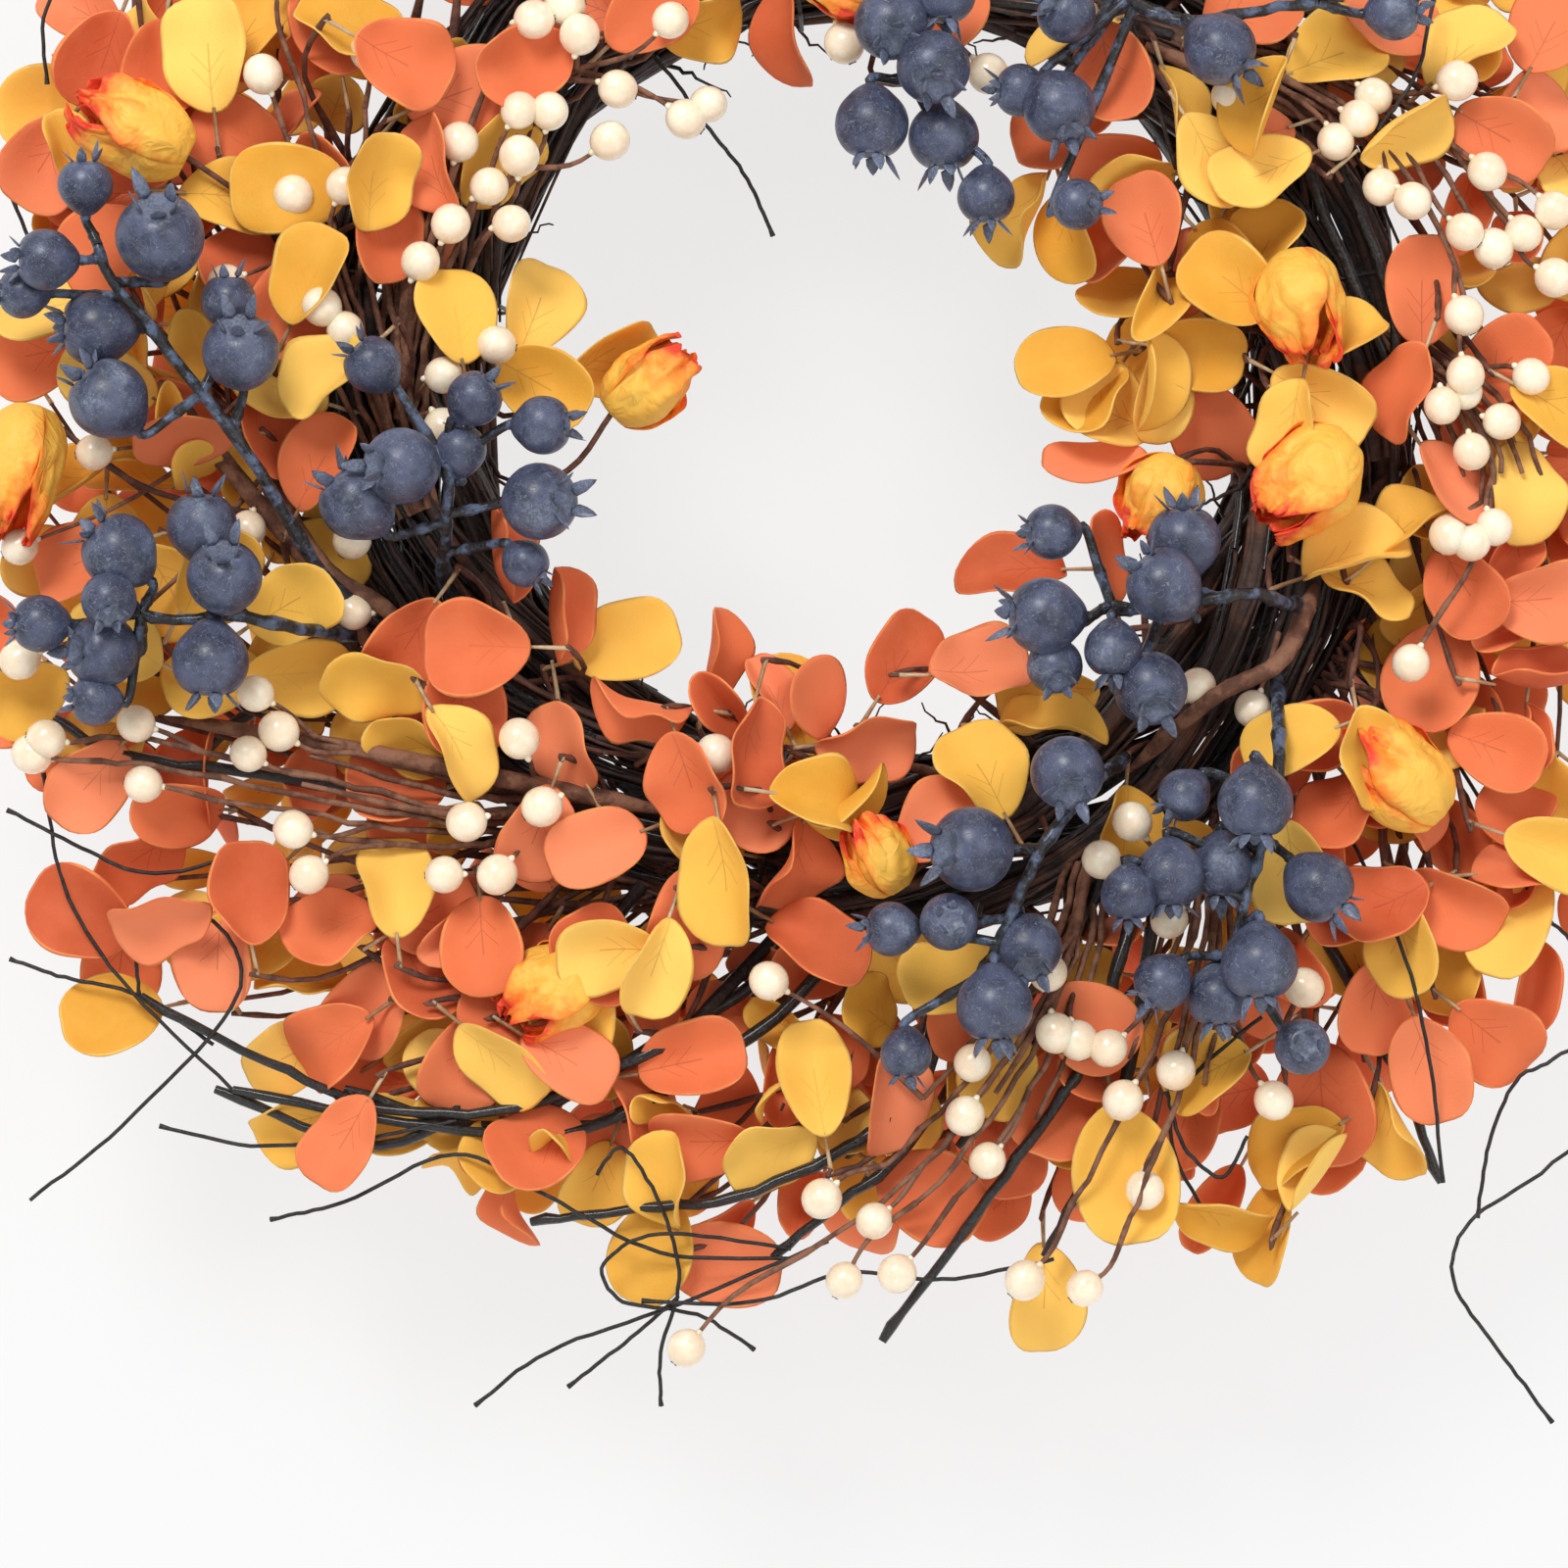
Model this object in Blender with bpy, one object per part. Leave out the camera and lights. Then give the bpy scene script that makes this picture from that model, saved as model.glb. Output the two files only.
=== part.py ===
"""Harvest door wreath, built pick by pick as a wreath maker builds it.

A wire hoop carries six twisted bundles of twigs, four turns of wire bind them, and every
pick (leaf spray, berry spray, blueberry pick, flower bud, bare twig) is a solid of its own
that starts on the surface of that base.

Frame: the wreath hangs upright on a door. +X is to the right seen from the front, +Z is up
and the front faces -Y. The origin is where the door hook carries the base, at the top of the
inside of the base.

The picks are laid out on a plan, a flat front view of the wreath in millimetres around its
middle, drawn for a base of the plan's size. lift is the height towards the viewer above the
middle of the base. seat() carries a point of the plan onto a base of any other size.
"""

import math
import random
from typing import NamedTuple

import bmesh
import bpy
from mathutils import Matrix, Vector

MM = 0.001

# Driving dimensions, in metres.
BASE_OUTER_DIAMETER = 0.305
BASE_SECTION_DIAMETER = 0.052
BUNDLE_COUNT = 6
BUNDLE_GAP = 0.0034
BUNDLE_TWISTS = 2
HOOP_WIRE_DIAMETER = 0.004
BINDING_WIRE_DIAMETER = 0.0012
CLEARANCE = 0.0004
HINGE_CLEARANCE = 0.0009
LEAF_THICKNESS = 0.0024
LEAF_LENGTH = 0.030
LEAF_WIDTH = 0.026
CREAM_BERRY_DIAMETER = 0.0106
PAPER_STEM_DIAMETER = 0.0030
PICK_STEM_DIAMETER = 0.0044
TWIG_DIAMETER = 0.0036
BUD_WIRE_DIAMETER = 0.0018
BUD_DIAMETER = 0.024

SECTION_RADIUS = BASE_SECTION_DIAMETER / 2
CORE_RADIUS = BASE_OUTER_DIAMETER / 2 - SECTION_RADIUS
# Bundles of equal radius stand round the hoop with BUNDLE_GAP between neighbours.
_HALF_STEP = math.sin(math.pi / BUNDLE_COUNT)
BUNDLE_RADIUS = (SECTION_RADIUS * 2 * _HALF_STEP - BUNDLE_GAP) / (2 * (1 + _HALF_STEP))
BUNDLE_ORBIT = SECTION_RADIUS - BUNDLE_RADIUS
WREATH_CENTRE = Vector((0.0, 0.0, SECTION_RADIUS - CORE_RADIUS))

# The base that the plan is drawn for.
PLAN_CORE_RADIUS = 126.5 * MM
PLAN_SECTION_RADIUS = 26.0 * MM
# The bud that the plan is drawn for.
PLAN_BUD_DIAMETER = 24.0 * MM

# How finely round things are cut.
BASE_STEPS = 36
WIRE_STEPS = 14
TUBE_SIDES = {4: 0, 6: 1}

COLOURS = {
    "twig": ((0.030, 0.020, 0.016), 0.70, 0.0),
    "wire": ((0.10, 0.10, 0.10), 0.40, 0.9),
    "leaf_orange": ((0.78, 0.17, 0.055), 0.65, 0.0),
    "leaf_yellow": ((0.78, 0.42, 0.055), 0.65, 0.0),
    "blueberry": ((0.035, 0.055, 0.13), 0.55, 0.0),
    "cream": ((0.90, 0.78, 0.62), 0.30, 0.0),
    "bud": ((0.95, 0.38, 0.04), 0.75, 0.0),
    "black_stem": ((0.012, 0.010, 0.010), 0.30, 0.0),
}


class Berry(NamedTuple):
    """A berry on the plan: its middle and radius, in millimetres."""

    x: float
    z: float
    lift: float
    radius: float


# Blueberry picks: the line of the main stem, and the berries on it. A line starts on the
# surface of the base at (x, z) and goes on through (x, z, lift).
BLUEBERRY_PICKS = {
    "left_upper": (
        [(-127, -64), (-144, -53, 38), (-160, -26, 50), (-179, 0, 56), (-198, 24, 58), (-204, 38, 58)],
        [Berry(-205, 49, 60, 7.5), Berry(-185, 35, 64, 12), Berry(-215, 29, 64, 8.3), Berry(-222, 21, 56, 7),
         Berry(-203, 12, 52, 10.4), Berry(-199, -7, 60, 10.8), Berry(-168, 19, 55, 7.5), Berry(-164, 5, 63, 10.4)],
    ),
    "left_middle": (
        [(-113, -56), (-112, -44, 44), (-110, -32, 55), (-112, -18, 58)],
        [Berry(-130, 2, 58, 7.8), Berry(-103, -7, 60, 7.5), Berry(-85, -14, 60, 8), Berry(-122, -25, 64, 10.4),
         Berry(-134, -34, 58, 10.4), Berry(-107, -20, 54, 7), Berry(-86, -34, 60, 10.4), Berry(-90, -50, 52, 6.5)],
    ),
    "left_lower": (
        [(-132, -68), (-150, -67, 46), (-166, -64, 56), (-182, -65, 58), (-196, -62, 58)],
        [Berry(-196, -47, 62, 10.2), Berry(-173, -39, 56, 10), Berry(-168, -54, 66, 10.2),
         Berry(-198, -60, 67, 7.5), Berry(-217, -66, 60, 7.8), Berry(-201, -73, 56, 10),
         Berry(-172, -76, 62, 10.4), Berry(-203, -86, 56, 7)],
    ),
    "top_hanging": (
        [(18, 114), (16, 106, 44), (14, 94, 55), (12, 80, 57), (18, 62, 56)],
        [Berry(6, 91, 62, 10), Berry(17, 79, 66, 10), Berry(20, 99, 60, 8.6), Berry(1, 65, 58, 10),
         Berry(20, 62, 54, 9.6), Berry(31, 46, 58, 7.8)],
    ),
    "top_left": (
        [(-70, 108), (-74, 118, 44), (-84, 132, 54), (-96, 146, 57), (-110, 162, 58)],
        [Berry(-122, 150, 60, 10), Berry(-98, 170, 62, 9.8), Berry(-118, 178, 57, 8), Berry(-78, 146, 60, 8.4),
         Berry(-108, 134, 56, 7.4), Berry(-92, 124, 62, 7.6)],
    ),
    "top_right": (
        [(60, 112), (66, 104, 44), (72, 96, 54), (86, 92, 57), (108, 96, 57), (124, 98, 57)],
        [Berry(92, 84, 63, 9.8), Berry(138, 94, 60, 7.5), Berry(50, 69, 62, 9.8), Berry(40, 74, 57, 7.2),
         Berry(55, 44, 58, 7), Berry(52, 94, 58, 8), Berry(122, 107, 58, 8)],
    ),
    "top_outer": (
        [(42, 128), (44, 138, 42), (48, 150, 52), (58, 168, 54)],
        [Berry(34, 156, 56, 10), Berry(62, 152, 57, 9.5), Berry(80, 158, 55, 7.8), Berry(46, 178, 55, 7.5),
         Berry(68, 182, 58, 10)],
    ),
    "right_middle": (
        [(117, -60), (110, -60, 44), (100, -58, 56), (86, -60, 58), (72, -62, 58), (58, -60, 58)],
        [Berry(48, -42, 60, 7.6), Berry(46, -64, 62, 10.4), Berry(83, -44, 56, 10), Berry(77, -56, 66, 10.2),
         Berry(64, -73, 63, 7.8), Berry(49, -77, 58, 7.6), Berry(74, -83, 60, 10)],
    ),
    "right_lower": (
        [(110, -80), (109, -90, 42), (108, -104, 54), (104, -122, 57), (98, -142, 57), (97, -160, 56)],
        [Berry(83, -111, 56, 7.2), Berry(101, -113, 66, 10.2), Berry(93, -130, 54, 9), Berry(79, -132, 60, 9.4),
         Berry(68, -137, 65, 7.6), Berry(118, -135, 61, 9.6), Berry(102, -155, 66, 10.4),
         Berry(77, -160, 60, 7.8), Berry(92, -164, 54, 8.6), Berry(114, -177, 57, 7.6)],
    ),
    "bottom": (
        [(69, -101), (62, -106, 44), (52, -116, 55), (42, -132, 58), (34, -150, 58), (26, -164, 57)],
        [Berry(52, -105, 64, 10), Berry(27, -125, 64, 11.5), Berry(6, -146, 60, 7.4), Berry(21, -144, 64, 7.8),
         Berry(42, -151, 54, 9.4), Berry(33, -166, 65, 10.4), Berry(10, -179, 57, 7)],
    ),
}

# Cream berry sprays: the same, with all berries of one size at one lift.
CREAM_BERRY_LIFT = 42
CREAM_SPRAYS = {
    "left_outer": (
        [(-122, -36), (-132, 0, 36), (-142, 32, 40), (-150, 62, 42), (-158, 94, 42)],
        [(-161, 81), (-151, 49), (-137, 52), (-146, 18), (-133, 84), (-156, 108)],
    ),
    "left_inner": (
        [(-126, -8), (-120, 20, 36), (-111, 50, 41), (-98, 84, 42), (-90, 98, 42)],
        [(-118, 32), (-100, 14), (-100, 50), (-92, 62), (-84, 72), (-66, 75), (-48, 66), (-76, 92), (-50, 94)],
    ),
    "left_lower": (
        [(-84, -116), (-112, -116, 33), (-150, -108, 40), (-190, -100, 42), (-214, -98, 42)],
        [(-221, -102), (-192, -109), (-164, -98), (-151, -121), (-148, -133), (-106, -128)],
    ),
    "right_upper": (
        [(84, 92), (110, 80, 37), (136, 62, 41), (154, 34, 42), (162, 4, 42)],
        [(96, 72), (135, 76), (124, 62), (144, 45), (163, 55), (170, 20), (181, 25), (158, 14)],
    ),
    "right_lower": (
        [(138, 14), (158, -6, 36), (166, -26, 41), (160, -50, 42), (146, -70, 42)],
        [(153, -8), (168, -12), (177, -1), (155, -44), (167, -44), (145, -78)],
    ),
    "bottom_left": (
        [(58, -128), (52, -158, 36), (34, -190, 41), (6, -222, 42), (-34, -248, 42)],
        [(51, -173), (27, -182), (29, -196), (2, -224), (-5, -239), (-48, -256)],
    ),
    "bottom_right": (
        [(94, -118), (92, -150, 34), (82, -186, 40), (70, -214, 42), (60, -234, 42)],
        [(66, -180), (68, -194), (82, -184), (107, -192), (74, -214), (42, -238), (58, -242)],
    ),
    "top": (
        [(-52, 118), (-34, 134, 36), (-8, 148, 41), (22, 158, 42)],
        [(-40, 148), (-20, 132), (-6, 162), (10, 144), (20, 172)],
    ),
}

# Flower buds: the line of the wire from the base to the bud, and the way that the bud points.
FLOWER_BUDS = {
    "left_top": ([(-140, 26), (-160, 44, 34), (-180, 58, 42)], (-0.9, 0.45)),
    "left_edge": ([(-144, -38), (-190, -30, 34), (-221, -16, 36)], (-0.2, -1.0)),
    "opening_left": ([(-104, -34), (-80, -24, 24), (-66, -8, 30)], (0.75, 0.65)),
    "opening_bottom": ([(32, -116), (20, -124, 36), (2, -130, 42)], (-0.5, 0.8)),
    "bottom_left": ([(-66, -128), (-72, -146, 32), (-76, -160, 38)], (-0.75, -0.5)),
    "right_top": ([(116, 46), (114, 36, 38), (114, 26, 44)], (0.15, -1.0)),
    "right_middle": ([(132, -22), (124, -24, 38), (119, -29, 44)], (-0.75, -0.65)),
    "opening_right": ([(102, -22), (92, -22, 28), (82, -24, 31)], (-0.5, -0.85)),
    "right_edge": ([(124, -84), (146, -112, 28), (148, -112, 36)], (-0.7, 0.7)),
    "top": ([(-26, 128), (-24, 124, 38), (-18, 116, 44)], (0.7, -0.6)),
}

# Bare black twigs that stand out of the base, each tapering to its end.
TWIGS = {
    "bottom_long": [(-10, -150), (-50, -171, 24), (-95, -191, 25), (-150, -190, 24), (-210, -160, 22)],
    "bottom_middle": [(20, -147), (-20, -192, 22), (-60, -214, 24), (-100, -222, 24)],
    "bottom_right": [(72, -130), (56, -176, 20), (30, -218, 23), (4, -253, 23)],
    "right_low": [(98, -113), (128, -160, 20), (150, -205, 23), (180, -270, 22)],
    "left_low": [(-132, -70), (-176, -96, 18), (-205, -140, 20), (-226, -200, 20)],
    "right_top": [(92, 116), (134, 138, 20), (176, 140, 22), (220, 120, 22)],
}

# Leaf sprays that lie on the front of the base: the line of the stem, and the leaf colour.
FRONT_SPRAYS = {
    "front_bottom": ([(22, -106), (2, -101, 30), (-30, -98, 31), (-66, -100, 31), (-96, -92, 31)], "leaf_orange"),
    "front_right": ([(98, 76), (88, 56, 30), (82, 34, 31), (80, 14, 31)], "leaf_yellow"),
    "front_left": ([(-148, -16), (-176, -4, 26), (-192, 16, 30), (-206, 44, 31)], "leaf_yellow"),
    "front_top": ([(-112, 84), (-106, 122, 30), (-88, 152, 31), (-54, 182, 30)], "leaf_orange"),
    "front_right_edge": ([(148, 14), (172, -10, 24), (182, -40, 27), (178, -80, 27)], "leaf_orange"),
}

# Leaf sprays round the outside: how many, the angle that each spans and how far out it ends.
OUTER_SPRAY_COUNT = 9
OUTER_SPRAY_SWEEP = 46.0
OUTER_SPRAY_TIP = 92 * MM
LEAVES_PER_SPRAY = 5
# The share of a spray's stem that is bare, from the base.
OUTER_BARE_SHARE = 0.42
FRONT_BARE_SHARE = 0.2


def clear_scene():
    """Removes whatever the scene holds."""
    for obj in list(bpy.data.objects):
        bpy.data.objects.remove(obj)


def make_material(name):
    """A Principled material with the named finish."""
    colour, roughness, metallic = COLOURS[name]
    material = bpy.data.materials.new(name)
    material.use_nodes = True
    shader = material.node_tree.nodes["Principled BSDF"]
    shader.inputs["Base Color"].default_value = (*colour, 1.0)
    shader.inputs["Roughness"].default_value = roughness
    shader.inputs["Metallic"].default_value = metallic
    return material


def around(angle, radius, lift):
    """The point at an angle (radians, anticlockwise from +X seen from the front), radius and lift."""
    return WREATH_CENTRE + Vector((radius * math.cos(angle), -lift, radius * math.sin(angle)))


def grown(value):
    """A distance from the middle of the plan's base section, carried onto the real section."""
    share = max(-1.0, min(1.0, value / PLAN_SECTION_RADIUS))
    return value + share * (SECTION_RADIUS - PLAN_SECTION_RADIUS)


def seat(x, z, lift):
    """Where a point of the plan, in millimetres, comes on the real base, in metres."""
    out = math.hypot(x, z) * MM - PLAN_CORE_RADIUS
    return around(math.atan2(z, x), CORE_RADIUS + grown(out), grown(lift * MM))


def rooted(route, radius, clearance):
    """The points of a route in metres, the first one where a stem of that radius just clears the base."""
    points = [seat(*point) for point in route[1:]]
    x, z = route[0]
    angle = math.atan2(z, x)
    out = grown(math.hypot(x, z) * MM - PLAN_CORE_RADIUS)
    off_surface = clearance
    for _ in range(4):
        reach = SECTION_RADIUS + off_surface
        lift = math.sqrt(reach * reach - out * out)
        root = around(angle, CORE_RADIUS + out, lift)
        normal = (root - around(angle, CORE_RADIUS, 0.0)).normalized()
        # A slanting stem's end face dips below its middle on one side.
        off_surface = clearance + radius * normal.cross((points[0] - root).normalized()).length
    return [root, *points]


def catmull_rom(p0, p1, p2, p3, t):
    """A point on the smooth curve from p1 to p2."""
    a = 2 * p1
    b = p2 - p0
    c = 2 * p0 - 5 * p1 + 4 * p2 - p3
    d = 3 * p1 - p0 - 3 * p2 + p3
    return 0.5 * (a + b * t + c * t * t + d * t * t * t)


def smooth_line(points, per_span):
    """Points along the smooth curve through the given ones, per_span to each stretch."""
    ends = [2 * points[0] - points[1], *points, 2 * points[-1] - points[-2]]
    line = []
    for i in range(len(points) - 1):
        for step in range(per_span):
            line.append(catmull_rom(*ends[i : i + 4], step / per_span))
    return [*line, points[-1].copy()]


def tube_mesh(name, line, radii, sides, cyclic=False):
    """A closed tube along a line, as a mesh made from a bevelled curve."""
    curve = bpy.data.curves.new(name, "CURVE")
    curve.dimensions = "3D"
    curve.bevel_depth = 1.0
    curve.bevel_resolution = TUBE_SIDES[sides]
    curve.use_fill_caps = not cyclic
    spline = curve.splines.new("POLY")
    spline.points.add(len(line) - 1)
    for point, place, radius in zip(spline.points, line, radii):
        point.co = (*place, 1.0)
        point.radius = radius
    spline.use_cyclic_u = cyclic
    carrier = bpy.data.objects.new(name, curve)
    mesh = bpy.data.meshes.new_from_object(carrier)
    bpy.data.objects.remove(carrier)
    bpy.data.curves.remove(curve)
    return mesh


def add_tube(bm, line, radii):
    """Adds a four-sided tube to bm as one more closed shell."""
    mesh = tube_mesh("tube", line, radii, 4)
    bm.from_mesh(mesh)
    bpy.data.meshes.remove(mesh)


def turned_to(along, facing):
    """A rotation that takes +X to along and +Z near to facing."""
    x = along.normalized()
    y = facing.cross(x).normalized()
    z = x.cross(y)
    return Matrix((x, y, z)).transposed().to_4x4()


def add_berry(bm, place, radius):
    """Adds a coarse berry, an icosahedron a little larger than the radius, as one more closed shell."""
    bmesh.ops.create_icosphere(bm, subdivisions=1, radius=1.08 * radius, matrix=Matrix.Translation(place))


def add_leaf(bm, base, along, facing):
    """Adds a leaf, a thin lens that grows from base along a direction, as one more closed shell."""
    overlap = 0.12 * LEAF_LENGTH
    middle = base + along.normalized() * (LEAF_LENGTH / 2 - overlap)
    size = Matrix.Diagonal((LEAF_LENGTH / 2, LEAF_WIDTH / 2, LEAF_THICKNESS / 2, 1.0))
    place = Matrix.Translation(middle) @ turned_to(along, facing) @ size
    bmesh.ops.create_uvsphere(bm, u_segments=6, v_segments=2, radius=1.0, matrix=place)


def mesh_object(name, bm, material, origin=(0.0, 0.0, 0.0)):
    """A linked object with the mesh of bm and its origin at the given point."""
    bmesh.ops.remove_doubles(bm, verts=bm.verts, dist=1e-7)
    bmesh.ops.recalc_face_normals(bm, faces=bm.faces)
    bmesh.ops.translate(bm, verts=bm.verts, vec=-Vector(origin))
    mesh = bpy.data.meshes.new(name)
    bm.to_mesh(mesh)
    bm.free()
    mesh.materials.append(material)
    obj = bpy.data.objects.new(name, mesh)
    obj.location = origin
    bpy.context.scene.collection.objects.link(obj)
    return obj


def make_pick(name, stem, shells, material, origin=(0.0, 0.0, 0.0)):
    """One solid: the stem, with every shell of shells united to it by a Boolean."""
    pick = mesh_object(name, stem, material, origin)
    helper = mesh_object(name + "_shells", shells, material)
    helper.hide_render = True
    helper.display_type = "WIRE"
    union = pick.modifiers.new("union", "BOOLEAN")
    union.operation = "UNION"
    union.solver = "EXACT"
    union.use_self = True
    union.object = helper
    return pick


def make_base(materials):
    """The hoop wire, the twig bundles twisted round it and the wires that bind them."""
    angles = [2 * math.pi * i / BASE_STEPS for i in range(BASE_STEPS)]
    hoop = [around(a, CORE_RADIUS, 0.0) for a in angles]
    make_tube("hoop_wire", hoop, HOOP_WIRE_DIAMETER / 2, materials["wire"], cyclic=True)
    for k in range(BUNDLE_COUNT):
        line = []
        for a in angles:
            turn = 2 * math.pi * k / BUNDLE_COUNT + BUNDLE_TWISTS * a
            line.append(
                around(a, CORE_RADIUS + BUNDLE_ORBIT * math.cos(turn), BUNDLE_ORBIT * math.sin(turn))
            )
        make_tube(f"twig_bundle_{k + 1}", line, BUNDLE_RADIUS, materials["twig"], sides=6, cyclic=True)
    # The flats of the wire's polygon clear the section too.
    flats = math.cos(math.pi / WIRE_STEPS)
    reach = (SECTION_RADIUS + CLEARANCE + BINDING_WIRE_DIAMETER / 2) / flats + CLEARANCE
    for k, degrees in enumerate((12, 100, 168, 258)):
        a = math.radians(degrees)
        line = []
        for i in range(WIRE_STEPS):
            turn = 2 * math.pi * i / WIRE_STEPS
            line.append(around(a, CORE_RADIUS + reach * math.cos(turn), reach * math.sin(turn)))
        make_tube(f"binding_wire_{k + 1}", line, BINDING_WIRE_DIAMETER / 2, materials["wire"], cyclic=True)


def make_tube(name, line, radius, material, sides=4, cyclic=False):
    """An object that is one tube of even radius."""
    mesh = tube_mesh(name, line, [radius] * len(line), sides, cyclic)
    bm = bmesh.new()
    bm.from_mesh(mesh)
    bpy.data.meshes.remove(mesh)
    return mesh_object(name, bm, material)


def tapered(count, first, last):
    """Radii from first to last, evenly."""
    return [first + (last - first) * i / (count - 1) for i in range(count)]


def fork_on(line, place):
    """Where a side stem to place leaves the line: nearer to the root than the nearest point."""
    near = min(range(len(line)), key=lambda i: (line[i] - place).length)
    back = 0.6 * (line[near] - place).length
    while near > 1 and back > 0:
        back -= (line[near] - line[near - 1]).length
        near -= 1
    return line[near]


def make_blueberry_picks(materials):
    """Moulded picks: a forked blue stem with a berry at the end of each fork.

    A pick bends where it leaves the base, so its origin is there.
    """
    for name, (route, berries) in BLUEBERRY_PICKS.items():
        line = smooth_line(rooted(route, PICK_STEM_DIAMETER / 2, HINGE_CLEARANCE), 2)
        stem = bmesh.new()
        add_tube(stem, line, tapered(len(line), PICK_STEM_DIAMETER / 2, 0.6 * PICK_STEM_DIAMETER / 2))
        shells = bmesh.new()
        for berry in berries:
            place = seat(berry.x, berry.z, berry.lift)
            fork = [fork_on(line, place), place]
            add_tube(shells, fork, [0.5 * PICK_STEM_DIAMETER / 2] * 2)
            add_berry(shells, place, berry.radius * MM)
        make_pick(f"blueberry_pick_{name}", stem, shells, materials["blueberry"], line[0])


def make_cream_sprays(materials):
    """Paper-wrapped wire stems, forked, with a cream berry at the end of each fork."""
    for name, (route, berries) in CREAM_SPRAYS.items():
        line = smooth_line(rooted(route, PAPER_STEM_DIAMETER / 2, CLEARANCE), 2)
        stem = bmesh.new()
        add_tube(stem, line, tapered(len(line), PAPER_STEM_DIAMETER / 2, 0.6 * PAPER_STEM_DIAMETER / 2))
        shells = bmesh.new()
        for x, z in berries:
            place = seat(x, z, CREAM_BERRY_LIFT)
            fork = [fork_on(line, place), place]
            add_tube(shells, fork, [0.4 * PAPER_STEM_DIAMETER / 2] * 2)
            add_berry(shells, place, CREAM_BERRY_DIAMETER / 2)
        make_pick(f"cream_berry_spray_{name}", stem, shells, materials["cream"])


def make_buds(materials):
    """Closed flower buds, each on its own wire."""
    for name, (route, pointing) in FLOWER_BUDS.items():
        line = smooth_line(rooted(route, BUD_WIRE_DIAMETER / 2, CLEARANCE), 2)
        way = Vector((pointing[0], -0.15, pointing[1])).normalized()
        # A larger bud sits further back on its wire, clear of what it points at, and stands
        # further out, so its back stays clear of what it lies on.
        middle = line[-1] + way * (1.48 * PLAN_BUD_DIAMETER - 0.93 * BUD_DIAMETER)
        middle.y -= 0.55 * (BUD_DIAMETER - PLAN_BUD_DIAMETER)
        line.append(middle)
        stem = bmesh.new()
        add_tube(stem, line, [BUD_WIRE_DIAMETER / 2] * len(line))
        shells = bmesh.new()
        size = Matrix.Diagonal((0.68 * BUD_DIAMETER, BUD_DIAMETER / 2, BUD_DIAMETER / 2, 1.0))
        place = Matrix.Translation(middle) @ turned_to(way, Vector((0, -1, 0))) @ size
        bmesh.ops.create_uvsphere(shells, u_segments=6, v_segments=5, radius=1.0, matrix=place)
        make_pick(f"flower_bud_{name}", stem, shells, materials["bud"])


def make_twigs(materials):
    """Bare black twigs."""
    for name, route in TWIGS.items():
        line = smooth_line(rooted(route, TWIG_DIAMETER / 2, CLEARANCE), 3)
        bm = bmesh.new()
        add_tube(bm, line, tapered(len(line), TWIG_DIAMETER / 2, 0.35 * TWIG_DIAMETER / 2))
        mesh_object(f"black_twig_{name}", bm, materials["black_stem"])


def make_leaf_spray(name, line, bare_share, material, rng, tilt):
    """A paper-wrapped stem with leaves to both sides in turn and one at its tip."""
    stem = bmesh.new()
    add_tube(stem, line, tapered(len(line), PAPER_STEM_DIAMETER / 2, 0.5 * PAPER_STEM_DIAMETER / 2))
    shells = bmesh.new()
    front = Vector((0, -1, 0))
    first = bare_share * (len(line) - 1)
    step = (len(line) - 2 - first) / (LEAVES_PER_SPRAY - 1)
    for k in range(LEAVES_PER_SPRAY):
        at = int(first + step * k)
        ahead = (line[at + 1] - line[at]).normalized()
        side = ahead.cross(front).normalized() * (1 if k % 2 else -1)
        at_tip = k == LEAVES_PER_SPRAY - 1
        spread = 0.0 if at_tip else math.radians(rng.uniform(48, 68))
        along = math.cos(spread) * ahead + math.sin(spread) * side
        facing = front + side * rng.uniform(-tilt, tilt) + ahead * rng.uniform(-tilt, tilt)
        add_leaf(shells, line[at + 1 if at_tip else at], along, facing)
    make_pick(name, stem, shells, material)


def outer_route(start):
    """The stem of an outer spray, which leaves the outside of the base clockwise at an angle."""
    points = []
    root_out = SECTION_RADIUS + CLEARANCE + PAPER_STEM_DIAMETER / 2
    for share in (0.0, 0.12, 0.4, 0.7, 1.0):
        angle = start - math.radians(OUTER_SPRAY_SWEEP) * share
        back = -0.2 * SECTION_RADIUS * math.sin(math.pi * share)
        points.append(around(angle, CORE_RADIUS + root_out + OUTER_SPRAY_TIP * share**1.2, back))
    return points


def make_leaf_sprays(materials):
    """Leaf sprays round the outside of the base and on its front, all running clockwise."""
    rng = random.Random(7)
    for k in range(OUTER_SPRAY_COUNT):
        line = smooth_line(outer_route(2 * math.pi * k / OUTER_SPRAY_COUNT), 3)
        material = materials["leaf_yellow" if k % 2 else "leaf_orange"]
        make_leaf_spray(f"leaf_spray_outer_{k + 1}", line, OUTER_BARE_SHARE, material, rng, 0.25)
    for name, (route, colour) in FRONT_SPRAYS.items():
        line = smooth_line(rooted(route, PAPER_STEM_DIAMETER / 2, CLEARANCE), 3)
        make_leaf_spray(f"leaf_spray_{name}", line, FRONT_BARE_SHARE, materials[colour], rng, 0.08)


def main():
    """Builds every piece of the wreath."""
    clear_scene()
    materials = {name: make_material(name) for name in COLOURS}
    make_base(materials)
    make_leaf_sprays(materials)
    make_cream_sprays(materials)
    make_buds(materials)
    make_twigs(materials)
    make_blueberry_picks(materials)


main()
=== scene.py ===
"""Harvest door wreath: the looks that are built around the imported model.

Thin twigs stand for the bundles of the base. Foam leaves, cream berries on paper-wrapped
stems, moulded blueberry picks, crinkled flower buds and black twigs stand for their CAD
pieces. The layout is a plan, a flat front view in millimetres around the middle of the
wreath. lift is the height towards the viewer above the middle of the base.
"""

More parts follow.
